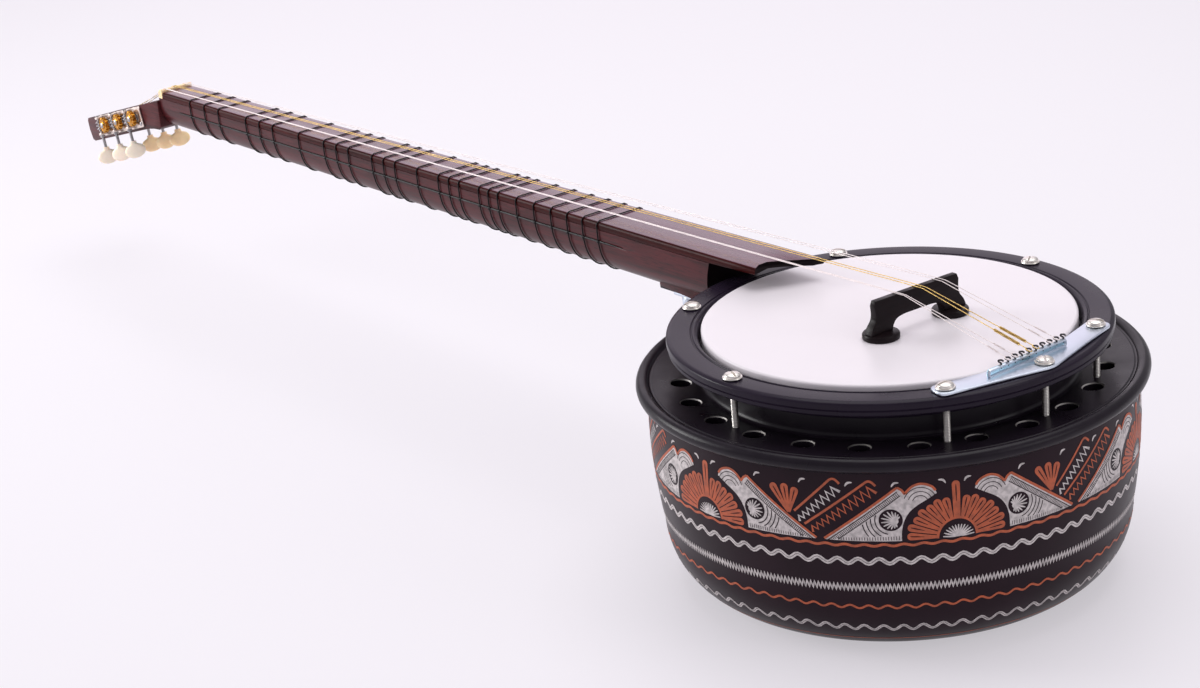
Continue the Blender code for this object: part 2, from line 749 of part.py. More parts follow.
def worm_shape(worm_u, side):
    """Right-hand worm and shaft; the thread leaves a gap for the tooth that faces it."""
    pitch = 2.0 * math.pi * GEAR_PITCH_RADIUS / GEAR_TEETH
    sections = []

    def ring(n, radius_at):
        section = []
        for j in range(WORM_STEPS):
            angle = 2.0 * math.pi * j / WORM_STEPS
            radius = radius_at(angle)
            u = worm_u + radius * math.cos(angle)
            y = side * GEAR_CENTRE_Y - radius * math.sin(angle)
            section.append(head_point(u, y, POST_DEPTH + n))
        sections.append(section)

    shaft = WORM_SHAFT_RADIUS
    ring(BUTTON_TOP + GAP - POST_DEPTH, lambda angle: shaft)
    ring(-4.9, lambda angle: shaft)
    ring(-4.5, lambda angle: WORM_ROOT_RADIUS)
    rows = int(2.0 * WORM_HALF_LENGTH / pitch * WORM_STEPS)
    for i in range(rows + 1):
        n = (i - rows / 2.0) * pitch / WORM_STEPS

        def thread(angle, n=n):
            phase = (n - pitch * angle / (2.0 * math.pi)) % pitch
            return worm_radius(min(phase, pitch - phase))

        ring(n, thread)
    ring(4.5, lambda angle: WORM_ROOT_RADIUS)
    ring(4.9, lambda angle: shaft)
    ring(7.8, lambda angle: shaft)
    return loft(sections)


def button_shape(worm_u, side, turn):
    """Flat paddle button with a round collar at its top."""
    width = BUTTON_HALF_WIDTH
    profile = ((0.0, 2.3, 2.3), (1.6, 2.4, 2.2), (3.6, 6.2, 2.2), (6.0, width, 2.2),
               (9.5, width - 0.4, 2.1), (12.0, width - 2.6, 1.8), (BUTTON_LENGTH, width - 5.4, 1.2))
    sections = []
    for drop, half, thick in profile:
        section = []
        for j in range(10):
            angle = 2.0 * math.pi * j / 10.0
            a, b = half * math.cos(angle), thick * math.sin(angle)
            u = worm_u + a * math.cos(turn) - b * math.sin(turn)
            y = side * GEAR_CENTRE_Y + a * math.sin(turn) + b * math.cos(turn)
            section.append(head_point(u, y, BUTTON_TOP - drop))
        sections.append(section)
    return loft(sections)


def make_tuning_machines():
    """Six sets of post, gear, worm and button, numbered from the nut on each side."""
    brass = finish("gear_brass", (0.78, 0.48, 0.12), 0.3, 1.0)
    steel = finish("steel", (0.52, 0.50, 0.50), 0.3, 1.0)
    cream = finish("button_cream", (0.86, 0.72, 0.45), 0.4)
    for side, name in ((-1, "near"), (1, "far")):
        for i, place in enumerate(TUNER_PLACES):
            label = f"{name}_{i + 1}"
            post_end = side * (GEAR_CENTRE_Y - GEAR_FACE / 2.0 - GAP)
            axis = head_point(place, 0.0, POST_DEPTH)
            ring = circle_outline(POST_RADIUS, 10, (place, POST_DEPTH))
            post = prism(ring, side * (SLOT_INNER + GAP), post_end, head_side)
            add_object(f"tuner_post_{label}", *post, steel, pivot=axis)
            inner = side * (GEAR_CENTRE_Y - GEAR_FACE / 2.0)
            outer = side * (GEAR_CENTRE_Y + GEAR_FACE / 2.0)
            gear = prism(gear_outline((place, POST_DEPTH)), inner, outer, head_side)
            add_object(f"tuner_gear_{label}", *gear, brass, pivot=axis)
            worm_u = place + WORM_OFFSET
            foot = head_point(worm_u, side * GEAR_CENTRE_Y, POST_DEPTH)
            add_object(f"tuner_worm_{label}", *worm_shape(worm_u, side), steel, pivot=foot)
            turn = -math.radians(BUTTON_TURNS[i])
            add_object(f"tuner_button_{label}", *button_shape(worm_u, side, turn), cream, pivot=foot)


def make_neck_joint():
    """Arm on the flange, plate under the heel, pivot pin, tilt bolt and the arm's two screws."""
    arm_low = ARM_TOP - ARM_THICKNESS
    foot_in, foot_out = -122.0, -131.5
    outline = [
        (ARM_END, arm_low), (-152.5, arm_low), (-151.5, -30.4), (-144.5, -30.4), (-143.5, arm_low),
        (foot_out, arm_low), (foot_out, flange_top(-foot_out) + GAP),
        (foot_in, flange_top(-foot_in) + GAP), (foot_in, ARM_TOP), (ARM_END, ARM_TOP),
    ]
    arm = add_object("neck_arm", *prism(outline, -ARM_HALF_WIDTH, ARM_HALF_WIDTH, across), zinc())
    pin_hole = prism(circle_outline(PIVOT_PIN_RADIUS + 0.1, 12, (PIVOT_X, PIVOT_HEIGHT)), -20.0, 20.0, across)
    upright_holes = [prism(circle_outline(TILT_HOLE_RADIUS, 10, (TILT_BOLT_X, 0.0)), -40.0, -10.0)]
    for side in (-1, 1):
        upright_holes.append(prism(circle_outline(2.2, 8, (ARM_SCREW_X, side * ARM_SCREW_Y)), -40.0, -10.0))
    boolean(arm, "arm_pin_hole", pin_hole, "DIFFERENCE")
    boolean(arm, "arm_upright_holes", merged(upright_holes), "DIFFERENCE")

    plate_top = REBATE_HEIGHT - GAP
    plate_low = plate_top - HEEL_PLATE_THICKNESS
    front, back = -137.2, REBATE_X + 0.5
    plate_shape = [(back, plate_low), (front, plate_low), (front, plate_top), (back, plate_top)]
    plate = add_object(
        "heel_plate", *prism(plate_shape, -HEEL_PLATE_HALF_WIDTH, HEEL_PLATE_HALF_WIDTH, across), zinc()
    )
    ears, ear_holes = [], []
    for side in (-1, 1):
        inner = side * (ARM_HALF_WIDTH + 0.4)
        outer = side * (ARM_HALF_WIDTH + 0.4 + EAR_THICKNESS)
        ear = [(-154.0, plate_low + 0.5), (-142.2, plate_low + 0.5), (-143.2, -28.6), (-145.6, -30.6),
               (-150.4, -30.6), (-152.8, -28.6)]
        ears.append(prism(ear, inner, outer, across))
        ring = circle_outline(PIVOT_HOLE_RADIUS, 12, (PIVOT_X, PIVOT_HEIGHT))
        ear_holes.append(prism(ring, inner - side, outer + side, across))
    ear_holes.append(prism(circle_outline(TILT_HOLE_RADIUS, 10, (TILT_BOLT_X, 0.0)), -24.0, -16.0))
    boolean(plate, "plate_ears", merged(ears), "UNION")
    boolean(plate, "plate_bores", merged(ear_holes), "DIFFERENCE")

    def along_y(a, b, depth):
        return (PIVOT_X + a, depth, PIVOT_HEIGHT + b)

    ear_face = ARM_HALF_WIDTH + 0.4 + EAR_THICKNESS + GAP
    pin = PIVOT_PIN_RADIUS
    pin_profile = [(3.2, -ear_face - 1.6), (3.6, -ear_face - 0.8), (3.6, -ear_face), (pin, -ear_face),
                   (pin, ear_face), (3.2, ear_face), (3.2, ear_face + 1.4)]
    add_object("neck_pivot_pin", *turned(pin_profile, 12, place=along_y), zinc())

    head = arm_low - GAP
    bolt_profile = [(5.6, head - 7.0), (6.4, head - 6.0), (6.4, head), (TILT_BOLT_RADIUS, head),
                    (TILT_BOLT_RADIUS, REBATE_HEIGHT - GAP - 0.5)]
    bolt = turned(bolt_profile, 12, centre=(TILT_BOLT_X, 0.0))
    add_object("tilt_bolt", *bolt, zinc(), pivot=(TILT_BOLT_X, 0.0, head))

    for side, name in ((-1, "near"), (1, "far")):
        seat = ARM_TOP + GAP
        profile = [(1.6, -36.0), (1.6, seat), (3.3, seat), (3.1, seat + 1.2), (1.8, seat + 2.0)]
        screw = turned(profile, 10, centre=(ARM_SCREW_X, side * ARM_SCREW_Y))
        add_object(f"arm_screw_{name}", *screw, zinc())


def make_strings():
    """Six strings in three courses, from the hooks over bridge and nut to the posts."""
    steel = finish("string_steel", (0.75, 0.74, 0.74), 0.25, 1.0)
    wound = finish("string_wound", (0.75, 0.55, 0.20), 0.3, 1.0)
    for i, radius in enumerate(STRING_RADII):
        lift = GAP + radius
        post_u = TUNER_PLACES[STRING_POSTS[i]]
        bridge_top = BRIDGE_TOP + lift
        route = [
            (TAIL_BAR_X - 1.1, STRINGS_AT_TAIL[i], TAIL_BAR_TOP + 2.2),
            (BRIDGE_X + 3.2, STRINGS_AT_BRIDGE[i], bridge_top),
            (BRIDGE_X - 3.2, STRINGS_AT_BRIDGE[i], bridge_top),
            (NUT_X + 1.7, STRINGS_AT_NUT[i], NUT_TOP + lift),
            (NUT_X - 1.6, STRINGS_AT_NUT[i], NUT_TOP + lift),
            head_point(post_u, STRINGS_AT_POST[i], POST_DEPTH + POST_RADIUS + 0.5 + lift),
        ]
        curve = bpy.data.curves.new(f"string_{i + 1}", "CURVE")
        curve.dimensions = "3D"
        curve.bevel_depth = radius * MM
        curve.bevel_resolution = 1
        curve.use_fill_caps = True
        line = curve.splines.new("POLY")
        line.points.add(len(route) - 1)
        for point, (x, y, z) in zip(line.points, route):
            point.co = (x * MM, y * MM, (z + BODY_HEIGHT) * MM, 1.0)
        made = bpy.data.objects.new(f"string_{i + 1}", curve)
        made.data.materials.append(wound if radius > 0.4 else steel)
        bpy.context.scene.collection.objects.link(made)


def main():
    clear_scene()
    make_bowl()
    make_top_casting()
    make_head()
    make_tailpiece()
    make_tension_screws()
    make_bridge()
    make_neck()
    make_fingerboard()
    make_nut()
    make_frets()
    make_headstock()
    make_tuner_plates()
    make_tuning_machines()
    make_neck_joint()
    make_strings()


main()
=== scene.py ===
"""Cumbus: a plucked lute with an ornamented metal bowl, a drum head, tied frets and geared tuners.

Lengths are in millimetres, and heights are measured from the top face of the tension hoop;
place() turns both into metres above the bowl's base. +Z runs up the bowl's axis and the neck
points towards -X.
"""

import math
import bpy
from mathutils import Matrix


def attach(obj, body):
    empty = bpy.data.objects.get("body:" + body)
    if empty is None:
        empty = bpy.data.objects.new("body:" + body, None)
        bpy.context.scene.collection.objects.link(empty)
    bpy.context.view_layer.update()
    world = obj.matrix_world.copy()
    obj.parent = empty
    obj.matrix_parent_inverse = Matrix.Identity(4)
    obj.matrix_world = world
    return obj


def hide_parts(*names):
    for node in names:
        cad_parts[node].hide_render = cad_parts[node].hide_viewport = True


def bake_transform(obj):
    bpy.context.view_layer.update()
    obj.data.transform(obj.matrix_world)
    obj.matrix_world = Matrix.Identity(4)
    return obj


bl_info = {
    "name": "Cumbus",
    "version": (1, 0, 0),
    "blender": (4, 5, 0),
    "location": "View3D > Sidebar > Cumbus",
    "description": "Builds a cumbus with its ornament, strings and studio stage",
    "category": "Add Mesh",
}

import bmesh
import bpy
from mathutils import Matrix, Vector

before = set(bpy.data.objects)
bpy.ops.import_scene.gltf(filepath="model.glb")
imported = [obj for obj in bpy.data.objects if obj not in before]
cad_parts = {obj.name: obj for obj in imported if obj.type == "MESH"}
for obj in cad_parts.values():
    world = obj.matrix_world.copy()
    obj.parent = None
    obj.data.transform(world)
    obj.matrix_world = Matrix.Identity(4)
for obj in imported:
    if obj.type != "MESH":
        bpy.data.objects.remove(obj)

MM = 0.001

# Bowl and top casting
BODY_HEIGHT = 143.7
BELLY_RADIUS = 134.6
BELLY_HEIGHT = -53.0
BELLY_CURVE = 0.00169
BASE_RADIUS = 96.9
CORNER_WIDTH = 33.0
CORNER_HEIGHT = 38.0
CORNER_TOP = CORNER_HEIGHT - BODY_HEIGHT
BOWL_WALL = 2.0
BOWL_RIM_HEIGHT = -32.4
SHELL_OUTER = 101.6
SHELL_INNER = 98.5
FLANGE_TOP = -28.4
FLANGE_SLOPE = 0.08
BEAD_CENTRE = (136.5, -28.2)
BEAD_RADIUS = 3.8
HOLE_CIRCLE = 115.5
HOLE_CHAMFER = 0.55

# Head, hoops, screws and tailpiece
FILM_RADIUS = 102.3
FILM_TOP = 1.5
SCREW_CIRCLE = 113.5
SCREW_ANGLES = (-150, -90, -30, 0, 30, 90, 150)
SCREW_FOOT = -38.0
TAIL_PLATE = 1.5
TAIL_BAR_X = 105.4
TAIL_BAR_TOP = 5.8
TAIL_BAR_FOOT = 1.0
TAIL_BAR_ENDS = (-33.5, 25.5)
TAIL_BAR_HALF_DEPTH = 0.75
HOOK_COUNT = 10
HOOK_PITCH = 5.2

# Bridge
BRIDGE_X = 23.0
BRIDGE_Y = -1.5
BRIDGE_TURN = math.radians(-2.9)
BRIDGE_TOP = 23.4
FOOT_SPREAD = 25.0
FOOT_RADIUS = 10.2

# Neck and frets
NUT_X = -768.5
SCALE_LENGTH = 785.8
HEEL_X = -125.0
HEEL_LEAN = 0.33
BOARD_THICKNESS = 5.0
NECK_ROUNDNESS = 2.4
GROOVE_START = -745.0
GROOVE_END = -204.0
KNOT_DROP = 7.4
FRET_BITE = 0.2
REBATE_X = -186.0
REBATE_HEIGHT = -19.0
# Semitones above the open string at which a fret is tied
FRET_SEMITONES = (
    1, 1.5, 2, 3, 3.5, 4, 5, 6, 6.5, 7, 8, 8.5, 9,
    10, 11, 11.5, 12, 13, 13.5, 14, 15, 16, 17, 18, 19, 20,
)
# Board's scooped end, as y and x, and the faces of each stretch of the board that are its flat top
BOARD_END = ((-18.9, -86.0), (-12.0, -89.8), (-6.0, -89.5), (3.0, -82.0), (13.0, -72.0), (18.9, -69.5))
BOARD_TOP_FACES = range(6, 14)
# Heel cheeks: x, outer side and lower edge at either end, then the side and height that they grow from
CHEEK_ENDS = ((-184.0, 10.0, -18.8), (-136.6, 13.6, -20.3))
CHEEK_INNER = 9.6
CHEEK_TOP = -14.0

# Slotted head: u runs along it from the nut and n is square to its face
HEAD_TILT = math.radians(15.4)
HEAD_ORIGIN_Z = 3.36
HEAD_LENGTH = 131.0
HEAD_HALF_WIDTH = 15.0
HEAD_THICKNESS = 19.0
SLOT_ENDS = (20.0, 113.0)
SLOT_SIDES = (2.5, 12.0)
PLATE_ENDS = (35.0, 112.0)
PLATE_PINS = (38.0, 57.0, 81.5, 109.0)
TUNER_PLACES = (45.0, 69.5, 94.0)
POST_DEPTH = -8.2
POST_RADIUS = 3.2
GEAR_TEETH = 14
GEAR_PITCH_RADIUS = 5.6
GEAR_TOOTH = ((4.8, -0.80), (5.5, -0.55), (6.15, -0.30), (6.15, 0.30), (5.5, 0.55), (4.8, 0.80))
GEAR_CENTRE_Y = 19.9
WORM_OFFSET = 8.0
BUTTON_TOP = -25.5
BUTTON_TURNS = (52, 40, 60)
# Drop below the button's top, half width and half thickness
BUTTON_PROFILE = (
    (-0.2, 1.9, 1.9), (0.0, 2.4, 2.4), (1.6, 2.5, 2.4), (2.4, 3.6, 2.5), (3.8, 6.4, 2.6), (6.2, 8.1, 2.6),
    (8.6, 8.2, 2.5), (10.6, 7.0, 2.3), (12.2, 4.8, 1.9), (13.0, 2.6, 1.3), (13.2, 0.8, 0.5),
)

# Neck joint
PIVOT = (-148.0, -27.0)
ARM_HALF_WIDTH = 6.5
ARM_TOP = -21.9
ARM_THICKNESS = 2.0
ARM_ENDS = (-176.0, -122.0)
SHEET_ENDS = (-185.6, -137.2)
SHEET_HALF_WIDTH = 9.4
HEEL_SCREWS = ((-180.0, -5.5), (-180.0, 5.5), (-141.0, -5.5), (-141.0, 5.5))
TILT_BOLT_X = -166.0

# Strings: y at the nut, the bridge, the tailpiece and the post, and the post's place
NUT_TOP = 11.3
STRINGS_AT_NUT = (-9.4, -8.6, -0.9, 0.9, 8.1, 9.9)
STRINGS_AT_BRIDGE = (-15.1, -13.9, -1.3, 1.3, 13.2, 15.8)
STRINGS_AT_TAIL = (-18.2, -13.0, -2.6, 2.6, 13.0, 18.2)
STRINGS_AT_POST = (-9.4, -7.2, -5.0, 5.0, 7.2, 9.4)
STRING_POSTS = (0, 1, 2, 2, 1, 0)
STRING_REST = 6.2

# Ornament: one sixth of the way round, with s along the girth and heights as above
SECTORS = 6
ROSETTE_ANGLE = -31.0
BAND_BASE = -72.0
SECTOR = 2.0 * math.pi * 134.3 / SECTORS

# Floor, and the camera's lens, place and turn as in the photograph
FLOOR_HALF_WIDTH = 6000.0
CAMERA_LENS = 78.471
CAMERA_ROWS = (
    (0.62492, -0.22375, 0.74794, 0.97155),
    (0.77599, 0.28304, -0.56367, -0.92961),
    (-0.08557, 0.93264, 0.35051, 0.64348),
    (0.0, 0.0, 0.0, 1.0),
)


# Colours and node trees


def linear(code):
    """Turn an sRGB hex colour into linear red, green and blue."""
    made = []
    for i in (1, 3, 5):
        value = int(code[i:i + 2], 16) / 255.0
        made.append(value / 12.92 if value <= 0.04045 else ((value + 0.055) / 1.055) ** 2.4)
    return tuple(made)


def opaque(code):
    """A hex colour as linear red, green and blue, with alpha."""
    return (*linear(code), 1.0)


def add_node(tree, kind, settings=None, inputs=None):
    """Add a node, set its properties and fill or link its inputs."""
    node = tree.nodes.new(kind)
    for name, value in (settings or {}).items():
        setattr(node, name, value)
    for name, value in (inputs or {}).items():
        if isinstance(value, bpy.types.NodeSocket):
            tree.links.new(value, node.inputs[name])
        else:
            node.inputs[name].default_value = value
    return node


def colour_of(name):
    """A colour that the sidebar offers, with alpha."""
    return (*getattr(bpy.context.scene.cumbus_colours, name), 1.0)


def shaded(colour, factor):
    """A colour made darker or lighter."""
    return tuple(min(1.0, c * factor) for c in colour[:3]) + (1.0,)


def start_material(name):
    """Return the new material with its tree, shader and Object coordinates."""
    made = bpy.data.materials.new(name)
    made.use_nodes = True
    tree = made.node_tree
    where = add_node(tree, "ShaderNodeTexCoord")
    return made, tree, tree.nodes["Principled BSDF"], where.outputs["Object"]


def wire_shader(tree, shader, links, values):
    """Link outputs to a shader's sockets and set its plain values."""
    for socket, output in links.items():
        tree.links.new(output, shader.inputs[socket])
    for socket, value in values.items():
        shader.inputs[socket].default_value = value


def surface(name, colour, shade, blotch, rough, grit, depth, metallic=0.0, stretch=(1.0, 1.0, 1.0),
            sockets=None):
    """A finish with blotches of a second shade, uneven roughness and fine grit.

    blotch and grit are the sizes of the features and depth the height of the grit, in mm.
    """
    found = bpy.data.materials.get(name)
    if found:
        return found
    made, tree, shader, where = start_material(name)
    scaled = add_node(tree, "ShaderNodeMapping", inputs={"Vector": where, "Scale": stretch})
    spots = add_node(tree, "ShaderNodeTexNoise", inputs={
        "Vector": scaled.outputs[0], "Scale": 1.0 / (blotch * MM), "Detail": 4.0})
    fine = add_node(tree, "ShaderNodeTexNoise", inputs={
        "Vector": scaled.outputs[0], "Scale": 1.0 / (grit * MM), "Detail": 3.0})
    tones = add_node(tree, "ShaderNodeValToRGB", inputs={"Fac": spots.outputs["Fac"]})
    tones.color_ramp.elements[0].position = 0.32
    tones.color_ramp.elements[0].color = shaded(colour, shade)
    tones.color_ramp.elements[1].position = 0.62
    tones.color_ramp.elements[1].color = colour
    gloss = add_node(tree, "ShaderNodeMapRange", inputs={
        "Value": spots.outputs["Fac"], "From Min": 0.3, "From Max": 0.7,
        "To Min": rough[0], "To Max": rough[1]})
    relief = add_node(tree, "ShaderNodeBump", inputs={
        "Height": fine.outputs["Fac"], "Strength": 0.6, "Distance": depth * MM})
    wire_shader(tree, shader, {
        "Base Color": tones.outputs["Color"], "Roughness": gloss.outputs[0], "Normal": relief.outputs[0]},
        {"Metallic": metallic, **(sockets or {})})
    return made


def wood(name, colour, dark, light, rough, level, coat):
    """Oiled wood with its grain along the neck: broad bands, fine fibres and short dark pores."""
    found = bpy.data.materials.get(name)
    if found:
        return found
    made, tree, shader, where = start_material(name)
    noises = []
    # Bands of 7 mm, fibres of 0.9 mm and pores of 0.6 mm, all drawn out along the neck
    for size, along, detail in ((7.0, 0.05, 3.0), (0.9, 0.03, 4.0), (0.6, 0.07, 1.0)):
        scaled = add_node(tree, "ShaderNodeMapping", inputs={"Vector": where, "Scale": (along, 1.0, 1.0)})
        noises.append(add_node(tree, "ShaderNodeTexNoise", inputs={
            "Vector": scaled.outputs[0], "Scale": 1.0 / (size * MM), "Detail": detail, "Distortion": 0.3}))
    bands, fibres, pores = (n.outputs["Fac"] for n in noises)
    mixed = add_node(tree, "ShaderNodeMath", {"operation": "MULTIPLY_ADD"}, {0: fibres, 1: 0.55, 2: 0.0})
    total = add_node(tree, "ShaderNodeMath", {"operation": "MULTIPLY_ADD"},
                     {0: bands, 1: 0.5, 2: mixed.outputs[0]})
    tones = add_node(tree, "ShaderNodeValToRGB", inputs={"Fac": total.outputs[0]})
    ramp = tones.color_ramp
    ramp.elements[0].position, ramp.elements[0].color = 0.40, shaded(colour, dark)
    ramp.elements[1].position, ramp.elements[1].color = 0.66, shaded(colour, light)
    ramp.elements.new(0.53).color = colour
    holes = add_node(tree, "ShaderNodeMapRange", inputs={
        "Value": pores, "From Min": 0.30, "From Max": 0.40, "To Min": 0.45, "To Max": 1.0})
    pitted = add_node(tree, "ShaderNodeMix", {"data_type": "RGBA", "blend_type": "MULTIPLY"},
                      {"Factor": 1.0, 6: tones.outputs["Color"], 7: holes.outputs[0]})
    gloss = add_node(tree, "ShaderNodeMapRange", inputs={
        "Value": fibres, "From Min": 0.3, "From Max": 0.7, "To Min": rough[0], "To Max": rough[1]})
    height = add_node(tree, "ShaderNodeMath", {"operation": "ADD"}, {0: holes.outputs[0], 1: fibres})
    relief = add_node(tree, "ShaderNodeBump", inputs={
        "Height": height.outputs[0], "Strength": 0.35, "Distance": 0.05 * MM})
    wire_shader(tree, shader, {
        "Base Color": pitted.outputs[2], "Roughness": gloss.outputs[0], "Normal": relief.outputs[0]},
        {"Specular IOR Level": level, "Coat Weight": coat, "Coat Roughness": 0.16})
    return made


def enamel():
    # Stoved enamel on spun aluminium: near-black with a wine cast, satin, faint orange peel
    return surface("stoved_enamel", colour_of("enamel"), 0.75, 24.0, (0.30, 0.38), 1.3, 0.015,
                   sockets={"Specular IOR Level": 0.14})


def hoop_enamel():
    # Enamel on the machined hoop, smooth and a little glossier; its violet-black colour is a painted sheen,
    # standing in for the lavender reflection on the hoop's top
    return surface("hoop_enamel", opaque("#241C2A"), 0.85, 30.0, (0.24, 0.32), 1.3, 0.008,
                   sockets={"Specular IOR Level": 0.13})


def cast_enamel():
    # The same enamel over a sand casting, whose grain shows through as a coarser skin
    return surface("enamelled_casting", colour_of("casting"), 0.75, 14.0, (0.26, 0.38), 0.9, 0.03,
                   sockets={"Specular IOR Level": 0.18})


def bare_aluminium():
    # Spun aluminium left bare inside the bowl: pale metal, dulled, with fine turning marks
    return surface("spun_aluminium", opaque("#D4D0CB"), 0.85, 20.0, (0.4, 0.55), 0.8, 0.03,
                   metallic=1.0, stretch=(1.0, 1.0, 6.0))


def copper_paint():
    # Engraved line rubbed with copper paint: matt orange-brown, uneven where it is worn
    return surface("copper_paint", colour_of("copper"), 0.66, 3.5, (0.45, 0.6), 0.5, 0.04)


def silver_paint():
    # The same line rubbed with silver paint: matt warm grey, patchy
    return surface("silver_paint", colour_of("silver"), 0.6, 2.6, (0.42, 0.6), 0.5, 0.04)


def frosted_film():
    # Drum film of polyester sprayed with a frosted coating: white, softly glossy, finely rough
    return surface("frosted_film", colour_of("film"), 0.97, 70.0, (0.28, 0.36), 0.8, 0.004,
                   sockets={"Specular IOR Level": 0.4})


def zinc_plate():
    # Blue zinc plating on pressed steel: pale, bluish, half bright with dull patches
    return surface("blue_zinc", colour_of("zinc"), 0.9, 26.0, (0.26, 0.36), 1.4, 0.004, metallic=1.0)


def channel_shade_zinc():
    # The same blue zinc plating, drawn darker and a stronger blue inside the channel: painted shade and
    # reflection of the recess
    return surface("deep_blue_zinc", opaque("#B4D6E6"), 0.8, 9.0, (0.22, 0.34), 1.0, 0.006, metallic=1.0)


def black_zinc():
    # Zinc plating on the hinge plate under the heel, drawn dark grey and dull: painted shade of the gap under
    # the neck
    return surface("black_zinc", opaque("#2A262B"), 0.7, 8.0, (0.4, 0.55), 0.8, 0.01, metallic=0.6)


def clear_zinc():
    # Clear zinc plating on the screws: nearly white, half bright
    return surface("clear_zinc", opaque("#EAE5DF"), 0.92, 8.0, (0.3, 0.4), 1.0, 0.004, metallic=1.0)


def dark_wire():
    # Oil-blackened spring wire of the hooks: dark grey with a dull shine
    return surface("blackened_wire", opaque("#4A474B"), 0.6, 3.0, (0.3, 0.45), 0.4, 0.01, metallic=1.0)


def nickel_plate():
    # Nickel plating on stamped steel: warm grey and bright, a little hazed
    return surface("nickel_plate", opaque("#E8DAD2"), 0.85, 6.0, (0.26, 0.4), 0.8, 0.01, metallic=1.0)


def plain_steel():
    # Drawn steel: light grey, with drawing marks
    return surface("drawn_steel", opaque("#B4B0B2"), 0.8, 4.0, (0.25, 0.42), 0.8, 0.01, metallic=1.0)


def bright_brass():
    # Cut brass gears: deep yellow, bright on the teeth and dark in the roots
    return surface("cut_brass", colour_of("brass"), 0.45, 3.0, (0.18, 0.38), 0.4, 0.03, metallic=1.0)


def cream_plastic():
    # Moulded cellulose of the near buttons: pale warm cream, waxy, slightly clouded
    return surface("cream_plastic", colour_of("cream"), 0.93, 7.0, (0.3, 0.42), 1.2, 0.01,
                   sockets={"Subsurface Weight": 0.3, "Subsurface Radius": (0.006, 0.004, 0.002)})


def aged_plastic():
    # Cellulose in a light orange tan, for the nut and the far buttons. On the nut it is yellowed with age;
    # the far buttons are the same plastic as the near ones, and their tan is a painted glow of light shining
    # through them
    return surface("aged_plastic", colour_of("aged_cream_and_glow"), 0.85, 7.0, (0.3, 0.42), 1.2, 0.01,
                   sockets={"Subsurface Weight": 0.3, "Subsurface Radius": (0.006, 0.003, 0.0015)})


def black_wood_and_end_shade():
    # Bridge of close-grained wood, stained black and waxed. The same dark colour on the heel's end face and
    # the fingerboard's scooped end is painted shade
    return surface("black_stained_maple", opaque("#1A1114"), 0.7, 3.0, (0.28, 0.4), 0.8, 0.015,
                   stretch=(1.0, 0.12, 1.0), sockets={"Specular IOR Level": 0.12})


def nylon_line():
    # Black nylon line of the tied frets: smooth and a little glossy
    return surface("black_nylon", opaque("#151013"), 0.8, 4.0, (0.35, 0.5), 0.5, 0.005,
                   sockets={"Specular IOR Level": 0.2})


def neck_wood():
    # Stained beech neck, oiled: reddish brown with long dark fibres
    return wood("stained_beech", colour_of("neck_wood"), 0.5, 1.6, (0.28, 0.4), 0.15, 0.08)


def board_wood():
    # Stained and varnished fingerboard: smooth plum red under a bright varnish; the flat top's lit copy of
    # the stain, lighter and more violet than the edge, a painted sheen
    return wood("varnished_fingerboard", colour_of("board_wood"), 0.8, 1.2, (0.22, 0.3), 0.5, 0.45)


def board_edge_shade_wood():
    # Rounded edge and underside of the fingerboard: the same stain drawn deep red, darker and with almost no
    # sheen, painted shade beside the lit top
    return wood("rubbed_board_edge", opaque("#3A0E0D"), 0.5, 1.4, (0.26, 0.36), 0.07, 0.0)


def string_steel_painted_highlight():
    # Plain music wire, drawn near white and barely metallic: a painted highlight for polished wire that the
    # light washes out
    return surface("music_wire", opaque("#F4E8E6"), 0.97, 30.0, (0.24, 0.3), 2.0, 0.001, metallic=0.15)


def wound_bronze():
    """Bronze winding: the turns are 0.3 mm apart, drawn 0.9 mm apart so that they show."""
    found = bpy.data.materials.get("bronze_winding")
    if found:
        return found
    made, tree, shader, where = start_material("bronze_winding")
    turns = add_node(tree, "ShaderNodeTexWave", {"bands_direction": "X"}, {
        "Vector": where, "Scale": 0.314 / (0.9 * MM), "Distortion": 0.0})
    # The colour runs from dark between the turns to light on their crowns: painted shade and highlight on the
    # winding
    tones = add_node(tree, "ShaderNodeValToRGB", inputs={"Fac": turns.outputs["Fac"]})
    tones.color_ramp.elements[0].color = opaque("#8E6A34")
    tones.color_ramp.elements[1].position = 0.45
    tones.color_ramp.elements[1].color = opaque("#E8C67C")
    relief = add_node(tree, "ShaderNodeBump", inputs={
        "Height": turns.outputs["Fac"], "Strength": 0.7, "Distance": 0.08 * MM})
    wire_shader(tree, shader, {"Base Color": tones.outputs["Color"], "Normal": relief.outputs[0]},
                {"Metallic": 1.0, "Roughness": 0.28})
    return made


# Mesh tools


def place(x, y, z):
    """A point in millimetres, with its height from the hoop's top, in metres from the base."""
    return Vector((x, y, z + BODY_HEIGHT)) * MM


def smooth_shade(mesh, sharp=38.0):
    """Shade a mesh smooth, but for edges that turn by more than an angle."""
    mesh.shade_smooth()
    mesh.set_sharp_from_angle(angle=math.radians(sharp))


def add_object(name, data):
    """Put an object with its data into the scene."""
    made = bpy.data.objects.new(name, data)
    bpy.context.scene.collection.objects.link(made)
    return made


def build(name, *layers, sharp=38.0):
    """Make one mesh object from ((points, faces), material) layers, welded and smooth."""
    mesh = bpy.data.meshes.new(name)
    work = bmesh.new()
    for number, ((points, faces), material) in enumerate(layers):
        verts = [work.verts.new(place(*p)) for p in points]
        for face in faces:
            made = work.faces.new([verts[i] for i in face])
            made.material_index = number
        mesh.materials.append(material)
    bmesh.ops.remove_doubles(work, verts=work.verts, dist=0.001 * MM)
    bmesh.ops.recalc_face_normals(work, faces=work.faces)
    work.to_mesh(mesh)
    work.free()
    smooth_shade(mesh, sharp)
    return add_object(name, mesh)


